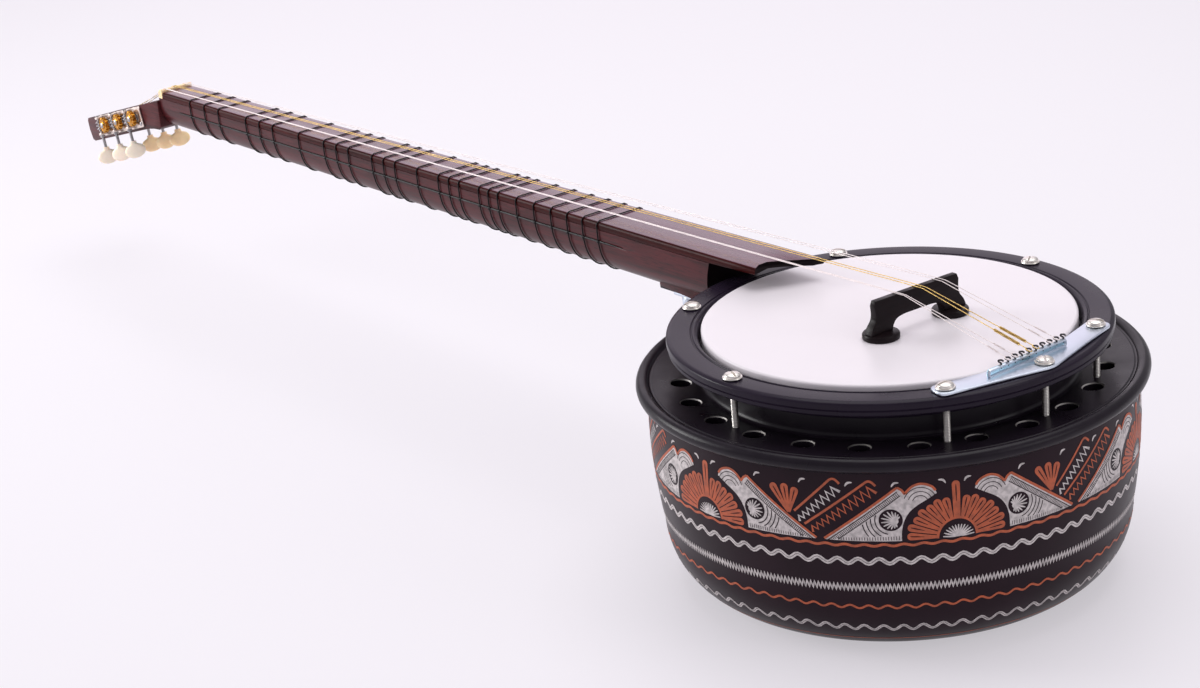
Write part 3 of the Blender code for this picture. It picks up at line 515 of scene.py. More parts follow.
def bake(piece):
    """Turn a piece's modifiers into a plain mesh."""
    graph = bpy.context.evaluated_depsgraph_get()
    made = bpy.data.meshes.new_from_object(piece.evaluated_get(graph))
    piece.modifiers.clear()
    piece.data = made


def bevelled(piece, width, segments=3):
    """Round a piece's sharp edges, as a file or a press leaves them."""
    step = piece.modifiers.new("rounding", "BEVEL")
    step.width = width * MM
    step.segments = segments
    step.limit_method = "ANGLE"
    step.angle_limit = math.radians(42.0)
    step.use_clamp_overlap = True
    bake(piece)
    smooth_shade(piece.data, 50.0)
    return piece


def cut(piece, *shapes):
    """Cut closed shapes out of a piece."""
    tool = build(piece.name + "_cutter", *[(shape, piece.data.materials[0]) for shape in shapes])
    step = piece.modifiers.new("cut", "BOOLEAN")
    step.operation = "DIFFERENCE"
    step.solver = "EXACT"
    step.object = tool
    bake(piece)
    bpy.data.objects.remove(tool, do_unlink=True)
    smooth_shade(piece.data)
    return piece


def hand_over(piece, body, slot, *nodes):
    """Let a finished piece ride its body, take its slot and stand for its CAD nodes."""
    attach(piece, body)
    if nodes:
        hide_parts(*nodes)
    return piece


def loft(sections, wrap=False):
    """Skin closed sections of equal count, capped; wrap joins the last to the first instead."""
    count = len(sections[0])
    points = [p for section in sections for p in section]
    faces = []
    for i in range(len(sections) if wrap else len(sections) - 1):
        a, b = i * count, (i + 1) % len(sections) * count
        for j in range(count):
            k = (j + 1) % count
            faces.append((a + j, a + k, b + k, b + j))
    if not wrap:
        faces.append(tuple(range(count)))
        faces.append(tuple(range(len(points) - count, len(points))))
    return points, faces


def merged(shapes):
    """Put several shapes into one point and face list."""
    points, faces = [], []
    for shape_points, shape_faces in shapes:
        start = len(points)
        points.extend(shape_points)
        faces.extend(tuple(start + i for i in face) for face in shape_faces)
    return points, faces


def upright(a, b, height):
    """Place an outline drawn in X and Y, extruded along Z."""
    return (a, b, height)


def across(a, b, depth):
    """Place an outline drawn in X and Z, extruded along Y."""
    return (a, depth, b)


def endways(a, b, depth):
    """Place an outline drawn in Y and Z, extruded along X."""
    return (depth, a, b)


def head_point(u, y, n):
    """A point in the head's frame, with the head's tilt behind the nut."""
    x = NUT_X - u * math.cos(HEAD_TILT) - n * math.sin(HEAD_TILT)
    z = HEAD_ORIGIN_Z - u * math.sin(HEAD_TILT) + n * math.cos(HEAD_TILT)
    return (x, y, z)


def head_side(u, n, y):
    """Place an outline drawn on the head's side, extruded across it."""
    return head_point(u, y, n)


def full_turn(steps):
    """Evenly spaced angles once round."""
    return [2.0 * math.pi * i / steps for i in range(steps)]


def circle(radius, steps, height=0.0, put=upright, centre=(0.0, 0.0)):
    """Points round a circle, placed in any of the ways above."""
    return [put(centre[0] + radius * math.cos(a), centre[1] + radius * math.sin(a), height)
            for a in full_turn(steps)]


def turned(profile, steps, wrap=False, put=upright, centre=(0.0, 0.0)):
    """Turn (radius, height) points about an axis; wrap is for a ring with a closed profile."""
    return loft([circle(r, steps, h, put, centre) for r, h in profile], wrap)


def rectangle(a0, a1, b0, b1):
    """Corners of a rectangle between two lengths each way."""
    return [(a0, b0), (a1, b0), (a1, b1), (a0, b1)]


def prism(outline, low, high, put=upright):
    """Extrude an outline between two levels."""
    return loft([[put(a, b, level) for a, b in outline] for level in (low, high)])


def flat_circle(radius, steps, centre):
    """A circle as an outline."""
    return [(a, b) for a, b, _ in circle(radius, steps, centre=centre)]


def polar(radius, degrees):
    """The two coordinates of a point at a radius and an angle."""
    return (radius * math.cos(math.radians(degrees)), radius * math.sin(math.radians(degrees)))


def arc(centre, radii, start, end, steps):
    """Points on an arc of an ellipse, with the angles in degrees."""
    made = []
    for i in range(steps + 1):
        angle = math.radians(start + (end - start) * i / steps)
        made.append((centre[0] + radii[0] * math.cos(angle), centre[1] + radii[1] * math.sin(angle)))
    return made


def rounded(outline, radius, steps=4):
    """Round the corners of a closed outline."""
    made = []
    for i, corner in enumerate(outline):
        here, before = Vector(corner), Vector(outline[i - 1])
        after = Vector(outline[(i + 1) % len(outline)])
        reach = min(radius, 0.45 * (before - here).length, 0.45 * (after - here).length)
        a = here + (before - here).normalized() * reach
        b = here + (after - here).normalized() * reach
        for k in range(steps + 1):
            t = k / steps
            made.append(tuple((1 - t) ** 2 * a + 2 * t * (1 - t) * here + t * t * b))
    return made


def smooth_path(points, steps):
    """A curve through the points, with steps between each two."""
    vectors = [Vector(p) for p in points]
    last = len(points) - 1
    made = []
    for i in range(last):
        p = [vectors[min(last, max(0, i + k))] for k in (-1, 0, 1, 2)]
        for k in range(steps):
            t = k / steps
            made.append(0.5 * (2 * p[1] + (p[2] - p[0]) * t + (2 * p[0] - 5 * p[1] + 4 * p[2] - p[3]) * t * t
                               + (3 * p[1] - p[0] - 3 * p[2] + p[3]) * t ** 3))
    return [tuple(p) for p in made + vectors[-1:]]


def tube(path, radius, sides):
    """A round tube along a path; radius is one number or one for each point."""
    points = [Vector(p) for p in path]
    radii = radius if isinstance(radius, (list, tuple)) else [radius] * len(points)
    sections = []
    normal = None
    for i, point in enumerate(points):
        along = (points[min(i + 1, len(points) - 1)] - points[max(i - 1, 0)]).normalized()
        if normal is None:
            normal = along.orthogonal().normalized()
        normal = (normal - along * normal.dot(along)).normalized()
        other = along.cross(normal)
        sections.append([tuple(point + radii[i] * (math.cos(a) * normal + math.sin(a) * other))
                         for a in full_turn(sides)])
    return loft(sections)


# Geometry Nodes


def new_tree(name, inputs):
    """A geometry tree with one geometry in and out and the named inputs."""
    tree = bpy.data.node_groups.new(name, "GeometryNodeTree")
    tree.interface.new_socket("Geometry", in_out="OUTPUT", socket_type="NodeSocketGeometry")
    tree.interface.new_socket("Geometry", in_out="INPUT", socket_type="NodeSocketGeometry")
    for label, kind in inputs.items():
        tree.interface.new_socket(label, in_out="INPUT", socket_type="NodeSocket" + kind)
    source = add_node(tree, "NodeGroupInput")
    return tree, source.outputs


def end_tree(tree, source, geometry, bared_highlight=None):
    """End a tree as every tree here ends: real, smooth geometry with its material.

    bared picks the faces that show bare metal instead.
    """
    real = add_node(tree, "GeometryNodeRealizeInstances", inputs={"Geometry": geometry})
    smooth = add_node(tree, "GeometryNodeSetShadeSmooth", inputs={"Geometry": real.outputs[0]})
    ended = add_node(tree, "GeometryNodeSetMaterial", inputs={
        "Geometry": smooth.outputs[0], "Material": source["Material"]})
    if bared_highlight:
        ended = add_node(tree, "GeometryNodeSetMaterial", inputs={
            "Geometry": ended.outputs[0], "Selection": bared_highlight, "Material": source["Bare Metal"]})
    add_node(tree, "NodeGroupOutput", inputs={"Geometry": ended.outputs[0]})
    return tree


def run_tree(piece, tree, values):
    """Set a tree's inputs by their identifiers, run it on a piece and keep the plain mesh."""
    step = piece.modifiers.new(tree.name, "NODES")
    step.node_group = tree
    for item in tree.interface.items_tree:
        if item.in_out == "INPUT" and item.name in values:
            step[item.identifier] = values[item.name]
    bake(piece)
    return piece


def piercing_tree():
    """Cut a ring of chamfered round holes through the input, half a step off the X axis."""
    tree, source = new_tree("sound_holes", {
        "Hole Count": "Int", "Hole Circle": "Float", "Hole Radius": "Float", "Hole Height": "Float",
        "Chamfer": "Float", "Face Slope": "Float", "Material": "Material", "Bare Metal": "Material"})
    ring = add_node(tree, "GeometryNodeMeshCircle", inputs={
        "Vertices": source["Hole Count"], "Radius": source["Hole Circle"]})
    half_step = add_node(tree, "ShaderNodeMath", {"operation": "DIVIDE"},
                         {0: math.pi, 1: source["Hole Count"]})
    turn = add_node(tree, "ShaderNodeCombineXYZ", inputs={"Z": half_step.outputs[0]})
    lift = add_node(tree, "ShaderNodeCombineXYZ", inputs={"Z": source["Hole Height"]})
    placed = add_node(tree, "GeometryNodeTransform", inputs={
        "Geometry": ring.outputs[0], "Translation": lift.outputs[0], "Rotation": turn.outputs[0]})
    where = add_node(tree, "GeometryNodeInputPosition")
    split = add_node(tree, "ShaderNodeSeparateXYZ", inputs={"Vector": where.outputs[0]})
    around = add_node(tree, "ShaderNodeMath", {"operation": "ARCTAN2"},
                      {0: split.outputs["Y"], 1: split.outputs["X"]})
    lean = add_node(tree, "ShaderNodeMath", {"operation": "MULTIPLY"}, {0: source["Face Slope"], 1: -1.0})
    square = add_node(tree, "ShaderNodeCombineXYZ", inputs={"Y": lean.outputs[0], "Z": around.outputs[0]})
    drill = add_node(tree, "GeometryNodeMeshCylinder", inputs={
        "Vertices": 32, "Radius": source["Hole Radius"], "Depth": 16.0 * MM})
    wide = add_node(tree, "ShaderNodeMath", {"operation": "MULTIPLY_ADD"},
                    {0: source["Chamfer"], 1: 3.0, 2: source["Hole Radius"]})
    narrow = add_node(tree, "ShaderNodeMath", {"operation": "SUBTRACT"},
                      {0: source["Hole Radius"], 1: source["Chamfer"]})
    deep = add_node(tree, "ShaderNodeMath", {"operation": "MULTIPLY"}, {0: source["Chamfer"], 1: 4.0})
    down = add_node(tree, "ShaderNodeMath", {"operation": "MULTIPLY"}, {0: source["Chamfer"], 1: -2.0})
    sink = add_node(tree, "ShaderNodeCombineXYZ", inputs={"Z": down.outputs[0]})
    cone = add_node(tree, "GeometryNodeMeshCone", inputs={
        "Vertices": 32, "Radius Top": wide.outputs[0], "Radius Bottom": narrow.outputs[0],
        "Depth": deep.outputs[0]})
    sunk = add_node(tree, "GeometryNodeTransform", inputs={
        "Geometry": cone.outputs[0], "Translation": sink.outputs[0]})
    pierced = source["Geometry"]
    for tool in (drill.outputs[0], sunk.outputs[0]):
        tools = add_node(tree, "GeometryNodeInstanceOnPoints", inputs={
            "Points": placed.outputs[0], "Instance": tool, "Rotation": square.outputs[0]})
        solid = add_node(tree, "GeometryNodeRealizeInstances", inputs={"Geometry": tools.outputs[0]})
        cutting = add_node(tree, "GeometryNodeMeshBoolean", {"operation": "DIFFERENCE", "solver": "EXACT"},
                           {"Mesh 1": pierced, "Mesh 2": solid.outputs[0]})
        pierced = cutting.outputs[0]

    # The chamfers take the pale bare metal, a painted highlight that rings each hole: slanting faces near the
    # circle of holes
    slant = add_node(tree, "ShaderNodeSeparateXYZ", inputs={
        "Vector": add_node(tree, "GeometryNodeInputNormal").outputs[0]})
    slanting = add_node(tree, "ShaderNodeMath", {"operation": "COMPARE"},
                        {0: slant.outputs["Z"], 1: 0.6, 2: 0.36})
    flat = add_node(tree, "ShaderNodeCombineXYZ", inputs={"X": split.outputs["X"], "Y": split.outputs["Y"]})
    reach = add_node(tree, "ShaderNodeVectorMath", {"operation": "LENGTH"}, {0: flat.outputs[0]})
    near = add_node(tree, "ShaderNodeMath", {"operation": "COMPARE"},
                    {0: reach.outputs["Value"], 1: source["Hole Circle"], 2: 8.0 * MM})
    both = add_node(tree, "ShaderNodeMath", {"operation": "MULTIPLY"},
                    {0: slanting.outputs[0], 1: near.outputs[0]})
    return end_tree(tree, source, pierced, both.outputs[0])


def repeat_tree():
    """Repeat the input round the Z axis."""
    tree, source = new_tree("repeat_round", {"Count": "Int", "Material": "Material"})
    spots = add_node(tree, "GeometryNodePoints", inputs={"Count": source["Count"]})
    number = add_node(tree, "GeometryNodeInputIndex")
    step = add_node(tree, "ShaderNodeMath", {"operation": "DIVIDE"}, {0: 2.0 * math.pi, 1: source["Count"]})
    angle = add_node(tree, "ShaderNodeMath", {"operation": "MULTIPLY"},
                     {0: number.outputs[0], 1: step.outputs[0]})
    turn = add_node(tree, "ShaderNodeCombineXYZ", inputs={"Z": angle.outputs[0]})
    copies = add_node(tree, "GeometryNodeInstanceOnPoints", inputs={
        "Points": spots.outputs[0], "Instance": source["Geometry"], "Rotation": turn.outputs[0]})
    return end_tree(tree, source, copies.outputs[0])


def fret_tree():
    """Tie a loop of line round the neck at each point, scaled by the point's own size."""
    tree, source = new_tree("tied_loops", {
        "Loop": "Object", "Line Radius": "Float", "Material": "Material"})
    loop = add_node(tree, "GeometryNodeObjectInfo", inputs={"Object": source["Loop"]})
    size = add_node(tree, "GeometryNodeInputNamedAttribute", {"data_type": "FLOAT_VECTOR"}, {"Name": "size"})
    loops = add_node(tree, "GeometryNodeInstanceOnPoints", inputs={
        "Points": source["Geometry"], "Instance": loop.outputs["Geometry"], "Scale": size.outputs[0]})
    real = add_node(tree, "GeometryNodeRealizeInstances", inputs={"Geometry": loops.outputs[0]})
    line = add_node(tree, "GeometryNodeCurvePrimitiveCircle", inputs={
        "Resolution": 8, "Radius": source["Line Radius"]})
    swept = add_node(tree, "GeometryNodeCurveToMesh", inputs={
        "Curve": real.outputs[0], "Profile Curve": line.outputs[0]})
    return end_tree(tree, source, swept.outputs[0])


def coil_tree():
    """A coil of wire up the Z axis."""
    tree, source = new_tree("wire_coil", {
        "Turns": "Float", "Radius": "Float", "Length": "Float", "Wire Radius": "Float",
        "Material": "Material"})
    spiral = add_node(tree, "GeometryNodeCurveSpiral", inputs={
        "Resolution": 14, "Rotations": source["Turns"], "Start Radius": source["Radius"],
        "End Radius": source["Radius"], "Height": source["Length"]})
    wire = add_node(tree, "GeometryNodeCurvePrimitiveCircle", inputs={
        "Resolution": 6, "Radius": source["Wire Radius"]})
    swept = add_node(tree, "GeometryNodeCurveToMesh", inputs={
        "Curve": spiral.outputs[0], "Profile Curve": wire.outputs[0], "Fill Caps": True})
    return end_tree(tree, source, swept.outputs[0])


def tree_named(name, maker):
    """The tree with this name, made once."""
    return bpy.data.node_groups.get(name) or maker()


def coil(name, start, direction, turns, radius, length, wire, material):
    """A coil from a point along a direction, in millimetres."""
    piece = build(name, (([(0.0, 0.0, -BODY_HEIGHT)], []), material))
    run_tree(piece, tree_named("wire_coil", coil_tree), {
        "Turns": turns, "Radius": radius * MM, "Length": length * MM, "Wire Radius": wire * MM,
        "Material": material})
    turn = Vector(direction).to_track_quat("Z", "Y").to_matrix().to_4x4()
    piece.data.transform(Matrix.Translation(place(*start)) @ turn)
    return piece


def joined(name, pieces):
    """Join finished meshes into one piece."""
    mesh = bpy.data.meshes.new(name)
    work = bmesh.new()
    materials = []
    for piece in pieces:
        index = []
        for material in piece.data.materials:
            if material not in materials:
                materials.append(material)
            index.append(materials.index(material))
        first = len(work.faces)
        work.from_mesh(piece.data)
        work.faces.ensure_lookup_table()
        for face in work.faces[first:]:
            face.material_index = index[face.material_index]
        bpy.data.objects.remove(piece, do_unlink=True)
    work.to_mesh(mesh)
    work.free()
    for material in materials:
        mesh.materials.append(material)
    return add_object(name, mesh)


# Bowl and its ornament


def bowl_radius(height):
    """Outer radius of the bowl at a height: a barrelled wall above an elliptical corner."""
    if height >= CORNER_TOP:
        return BELLY_RADIUS - BELLY_CURVE * (height - BELLY_HEIGHT) ** 2
    share = (CORNER_TOP - height) / CORNER_HEIGHT
    return BASE_RADIUS + CORNER_WIDTH * math.sqrt(max(0.0, 1.0 - share * share))


def bowl_profile(wall):
    """Points down the bowl's side at a depth into its wall, from the rim to the base."""
    made = []
    for i in range(15):
        height = BOWL_RIM_HEIGHT + (CORNER_TOP - BOWL_RIM_HEIGHT) * i / 14.0
        made.append((bowl_radius(height) - wall, height))
    corner = arc((BASE_RADIUS, CORNER_TOP), (CORNER_WIDTH - wall, CORNER_HEIGHT - wall), 0, -90, 24)
    return made + corner[1:]


def on_bowl(s, height, lift):
    """A point on the bowl's outside, s millimetres round the girth from a rosette's centre."""
    angle = math.radians(ROSETTE_ANGLE) + s / SECTOR * 2.0 * math.pi / SECTORS
    step = 0.5
    slope = (bowl_radius(height + step) - bowl_radius(height - step)) / (2.0 * step)
    lean = math.atan(slope)
    radius = bowl_radius(height) + lift * math.cos(lean)
    return (radius * math.cos(angle), radius * math.sin(angle), height - lift * math.sin(lean))


def stroke(path, width, lift=0.1):
    """A painted line on the bowl; width is one number or one for each point."""
    widths = width if isinstance(width, (list, tuple)) else [width] * len(path)
    points, faces = [], []
    for i, (s, h) in enumerate(path):
        before, after = path[max(i - 1, 0)], path[min(i + 1, len(path) - 1)]
        run = Vector((after[0] - before[0], after[1] - before[1]))
        side = Vector((-run.y, run.x)).normalized() * widths[i] / 2.0
        points.extend([on_bowl(s + side.x, h + side.y, lift), on_bowl(s - side.x, h - side.y, lift)])
        if i:
            faces.append((2 * i - 2, 2 * i - 1, 2 * i + 1, 2 * i))
    return points, faces


def line(a, b, width, lift, bits):
    """A straight painted line, in enough bits to follow the bowl."""
    path = [(a[0] + (b[0] - a[0]) * i / bits, a[1] + (b[1] - a[1]) * i / bits) for i in range(bits + 1)]
    return stroke(path, width, lift)


def filled(outline, lift):
    """A painted patch on the bowl, with faces small enough to follow it."""
    work = bmesh.new()
    work.faces.new([work.verts.new((s, h, 0.0)) for s, h in outline])
    bmesh.ops.triangulate(work, faces=work.faces)
    for _ in range(4):
        long_edges = [e for e in work.edges if e.calc_length() > 5.0]
        if long_edges:
            bmesh.ops.subdivide_edges(work, edges=long_edges, cuts=1)
            bmesh.ops.triangulate(work, faces=work.faces)
    work.verts.index_update()
    points = [on_bowl(v.co.x, v.co.y, lift) for v in work.verts]
    faces = [tuple(v.index for v in f.verts) for f in work.faces]
    work.free()
    return points, faces


def petal(centre, start, end, degrees, width, lift=0.1):
    """A leaf-shaped stroke that points away from a centre."""
    a, b = polar(1.0, degrees)
    path, widths = [], []
    for i in range(8):
        t = i / 7.0
        reach = start + (end - start) * t
        path.append((centre[0] + reach * a, centre[1] + reach * b))
        widths.append(width * (0.35 + 0.75 * math.sin(math.pi * min(1.0, 0.12 + 0.8 * t)) ** 0.8))
    return stroke(path, widths, lift)


def wave_line(height, amplitude, count, width, shape=math.sin, bits=8):
    """A wavy or zigzag line along one sector of the bowl."""
    path = []
    for i in range(count * bits + 1):
        path.append((SECTOR * i / (count * bits), height + amplitude * shape(2.0 * math.pi * i / bits)))
    return stroke(path, width)


def finger(centre, start, end, degrees, width, copper, black, root=0.36):
    """A round-ended copper finger, wider outwards, with a dark seam down its middle."""
    path, widths = [], []
    for i in range(15):
        t = math.sin(math.pi / 2.0 * i / 14.0)
        a, b = polar(start + (end - start) * t, degrees)
        path.append((centre[0] + a, centre[1] + b))
        tip = 1.0 - max(0.0, 1.0 - (1.0 - t) * (end - start) / (width / 2.0)) ** 2
        widths.append(max(0.1, width * (root + (1.0 - root) * t) * math.sqrt(max(0.0, tip))))
    copper.append(stroke(path, widths, 0.1))
    black.append(stroke(path[4:11], [0.2, 0.35, 0.5, 0.6, 0.6, 0.5, 0.2], 0.16))


def half_rosette(copper, silver, black):
    """Copper fingers round a dark half-round eye with a silver fan."""
    eye = (0.0, BAND_BASE + 0.8)
    finger(eye, 10.9, 31.0, 90.0, 4.3, copper, black, 0.82)
    for i in range(7):
        for side in (-1, 1):
            angle = math.radians(90.0 + side * (14.5 + 11.7 * i))
            reach = math.hypot(25.8 * math.cos(angle), 22.8 * math.sin(angle)) + (0.8 if i % 2 else 0.0)
            finger(eye, 10.8, reach, math.degrees(angle), 4.7, copper, black)
    copper.append(stroke(arc(eye, (10.2, 10.6), 0, 180, 28), 1.3, 0.14))
    fan = (0.6, BAND_BASE + 0.6)
    for i in range(13):
        angle = math.radians(6.0 + 168.0 * i / 12.0)
        reach = math.hypot(8.2 * math.cos(angle), 6.9 * math.sin(angle))
        silver.append(petal(fan, 1.6, reach, math.degrees(angle), 0.8))
    silver.append(filled(arc(fan, (2.5, 2.3), 0, 180, 10), 0.12))


def medallion(centre, radius, facing, silver, black):
    """A dark disc with a silver shell, whose rays open to one side."""
    black.append(filled(arc(centre, (radius, radius), 0, 345, 23), 0.17))
    a, b = polar(0.36 * radius, facing)
    hub = (centre[0] - a, centre[1] - b)
    silver.append(filled(arc(hub, (0.3 * radius, 0.3 * radius), 0, 330, 11), 0.24))
    for i in range(13):
        angle = facing - 120.0 + 20.0 * i
        turn = math.radians(angle - facing)
        reach = radius * (0.36 * math.cos(turn) + math.sqrt(0.66 - (0.36 * math.sin(turn)) ** 2))
        silver.append(petal(hub, radius * 0.2, reach, angle, 0.8, 0.24))


def hatched_triangle(mirror, copper, silver, black):
    """A silver triangle edged with fine teeth, its foot beside a rosette and a scroll at its crown."""

    def at(s, h):
        return (SECTOR - s if mirror else s, BAND_BASE + h)

    def drawn(points):
        return [at(*p) for p in points]

    crown, toe = (29.3, 30.0), (67.8, 1.2)
    beside = smooth_path([(28.4, 0.8), (28.2, 6.4), (26.9, 11.8), (24.2, 16.6), (20.4, 20.0), (15.6, 22.8),
                          (9.8, 26.2)], 4)
    over = smooth_path([(9.8, 26.2), (11.6, 29.4), (14.8, 31.3), (18.4, 31.9), (22.0, 30.8), (24.6, 28.6),
                        (26.0, 26.9)], 4)
    silver.append(filled(drawn(beside + over[1:] + [(27.6, 28.9), crown, toe]), 0.1))

    run = Vector((toe[0] - crown[0], toe[1] - crown[1]))
    inward = Vector((run.y, -run.x)).normalized()
    teeth = 48
    for i in range(2, teeth):
        spot = Vector(crown) + run * i / teeth
        tall = min(2.0, 0.4 + 0.22 * (teeth - i))
        black.append(line(at(*(spot + inward * 1.4)), at(*(spot + inward * (1.4 + tall))), 0.34, 0.16, 1))
    for depth, width, last in ((1.0, 0.5, 1.0), (3.7, 0.45, 0.88)):
        edge = [Vector(crown) + inward * depth + run * k for k in (0.03, last)]
        black.append(line(at(*edge[0]), at(*edge[1]), width, 0.17, 14))
    for i in range(24):
        s = 29.7 + i * 1.35
        black.append(line(at(s, 1.4), at(s, 3.6 - 0.03 * i), 0.34, 0.16, 1))
    for radius, start, end in ((8.0, -78, 22), (10.2, -60, 6), (12.4, -48, -3), (14.6, -38, -9)):
        black.append(stroke(drawn(arc((33.6, 12.8), (radius, radius), start, end, 12)), 0.55, 0.16))
    medallion(at(33.6, 12.8), 6.1, 165.0 if mirror else 15.0, silver, black)
    for radius in (8.4, 6.2, 4.0):
        black.append(stroke(drawn(arc((18.4, 21.6), (radius, radius), 160, 20, 12)), 0.4, 0.16))
    rail = [Vector(p) - inward * 0.7 for p in (crown, toe)]
    copper.append(stroke(drawn(over[2:] + [(27.6, 29.2), tuple(rail[0])]), 1.3, 0.18))
    copper.append(line(at(*rail[0]), at(*rail[1]), 1.35, 0.18, 14))


def palmette(centre, copper, black):
    """Three copper fingers on one stem."""
    for degrees, reach in ((121.0, 18.0), (98.0, 16.4), (74.0, 15.4)):
        finger(centre, 0.5, reach, degrees, 4.9, copper, black, 0.26)


def zigzag_bar(start, degrees, length, low, high, swing, teeth, edge, fill):
    """A slanting line with a hooked end over a zigzag that grows along it."""
    along = Vector(polar(1.0, degrees))
    path = [Vector(start) + along * length * i / 8.0 for i in range(9)]
    hook = [tuple(path[-1] + Vector(step)) for step in ((0.0, 0.0), (1.6, 0.8), (3.4, 0.3), (5.4, -1.7))]
    edge.append(stroke([tuple(p) for p in path[:-1]] + smooth_path(hook, 4), 1.25, 0.12))
    run = Vector(high) - Vector(low)
    off = Vector((-run.y, run.x)).normalized() * swing
    path, widths = [], []
    for i in range(2 * teeth + 1):
        t = i / (2.0 * teeth)
        grow = min(1.0, 0.55 + 0.6 * t)
        path.append(tuple(Vector(low) + run * (0.9 * t + 0.1 * t * t) + off * grow * (1 if i % 2 else -1)))
        widths.append(1.05 + 0.5 * grow)
    fill.append(stroke(path, widths, 0.12))


def comma(s, h, flip, silver):
    """A small silver crescent that floats above the band."""
    curve = [(s - 2.4 * flip, h - 1.6), (s - 1.0 * flip, h + 0.3), (s + 1.4 * flip, h + 0.6)]
    path = smooth_path(curve, 4)
    widths = [0.3 + 0.9 * math.sin(math.pi * i / (len(path) - 1)) for i in range(len(path))]
    silver.append(stroke(path, widths))


def triangle_wave(angle):
    """A zigzag with the same rise and period as a sine."""
    return 2.0 / math.pi * math.asin(math.sin(angle))


def make_bowl():
    """Bowl with an enamelled skin and a bare lining, joined at the rim and closed at the base."""
    steps = bpy.context.scene.cumbus_sizes.ring_steps
    rim = (bowl_radius(BOWL_RIM_HEIGHT) - 0.5, BOWL_RIM_HEIGHT + 0.3)
    layers = []
    for wall, material in ((0.0, enamel()), (BOWL_WALL, bare_aluminium())):
        profile = [rim, *bowl_profile(wall), (BASE_RADIUS - 60.0, wall - BODY_HEIGHT)]
        points, faces = turned(profile, steps)
        layers.append(((points, faces[:-2] + faces[-1:]), material))
    hand_over(build("bowl_shell", *layers), "pot", "black_enamel", "bowl")


def make_ornament():
    """One sixth of the band by hand, then repeated round the bowl."""
    copper, silver, black = [], [], []
    half_rosette(copper, silver, black)
    for mirror in (False, True):
        hatched_triangle(mirror, copper, silver, black)
    palmette((54.0, BAND_BASE + 14.0), copper, black)
    for start, degrees, length, low, high, swing, teeth, fill in (
        ((57.0, 15.7), 43.9, 27.0, (59.0, 11.2), (80.4, 30.2), 2.5, 8, silver),
        ((62.3, 9.0), 37.0, 40.7, (65.8, 6.0), (99.0, 30.2), 2.8, 11, copper),
    ):
        zigzag_bar((start[0], BAND_BASE + start[1]), degrees, length, (low[0], BAND_BASE + low[1]),
                   (high[0], BAND_BASE + high[1]), swing, teeth, copper, fill)
    for s, h, flip in ((6.8, 32.4, 1), (-7.5, 32.6, -1), (36.5, 33.0, 1), (62.5, 33.4, 1), (87.0, 33.0, 1),
                       (110.4, 32.6, 1)):
        comma(s % SECTOR, BAND_BASE + h, flip, silver)
    copper.append(wave_line(-73.4, 0.5, 14, 1.5))
    for height, amplitude, width in ((-82.7, 1.5, 2.3), (-124.2, 1.7, 1.7)):
        silver.append(wave_line(height, amplitude, 13, width))
        black.append(wave_line(height, amplitude, 13, 0.25))
    silver.append(wave_line(-98.6, 2.4, 66, 0.85, triangle_wave, 4))
    copper.append(wave_line(-110.4, 0.95, 14, 1.2))
    copper.append(wave_line(-133.5, 0.0, 12, 0.5))
    for name, shapes, material in (
        ("ornament_copper", copper, copper_paint()),
        ("ornament_silver", silver, silver_paint()),
        ("ornament_black", black, enamel()),
    ):
        piece = build(name, (merged(shapes), material))
        run_tree(piece, tree_named("repeat_round", repeat_tree), {"Count": SECTORS, "Material": material})
        hand_over(piece, "pot", "black_enamel")


def make_top_casting():
    """Shell under the head, its flange with the sound holes and the rolled bead, in one casting."""
    sizes = bpy.context.scene.cumbus_sizes
    top = FLANGE_TOP
    bead = arc(BEAD_CENTRE, (BEAD_RADIUS, BEAD_RADIUS), 158, -96, 16)
    profile = [
        (SHELL_INNER, 0.6), (SHELL_OUTER - 0.8, 0.6), (SHELL_OUTER, -0.9), (SHELL_OUTER, top + 3.0),
        (SHELL_OUTER + 0.5, top + 1.2), (SHELL_OUTER + 1.6, top + 0.3), (SHELL_OUTER + 3.2, top + 0.05),
        (106.4, top + 0.3), (107.6, top + 0.4), (124.0, top + 1.7), (128.2, top + 2.05), (131.2, top + 2.3),
        (131.8, top + 1.9), (132.4, top + 1.9), (132.9, top + 2.2),
        *bead,
        (135.4, BOWL_RIM_HEIGHT - 0.8), (134.6, BOWL_RIM_HEIGHT - 1.2), (134.2, BOWL_RIM_HEIGHT + 0.3),
        (131.6, BOWL_RIM_HEIGHT + 0.3), (131.4, -38.0), (129.4, -38.0), (129.4, -31.6),
        (SHELL_OUTER + 2.0, -31.6), (SHELL_INNER, -36.0),
    ]
    casting = build("pierced_casting", (turned(profile, sizes.ring_steps, wrap=True), cast_enamel()))
    run_tree(casting, tree_named("sound_holes", piercing_tree), {
        "Hole Count": sizes.sound_holes, "Hole Circle": HOLE_CIRCLE * MM,
        "Hole Radius": sizes.sound_hole_radius, "Hole Height": (top + 1.0 + BODY_HEIGHT) * MM,
        "Chamfer": HOLE_CHAMFER * MM, "Face Slope": FLANGE_SLOPE, "Material": cast_enamel(),
        "Bare Metal": bare_aluminium()})
    smooth_shade(casting.data)
    hand_over(casting, "pot", "black_enamel", "top_casting")


# Head, hoops, screws and tailpiece


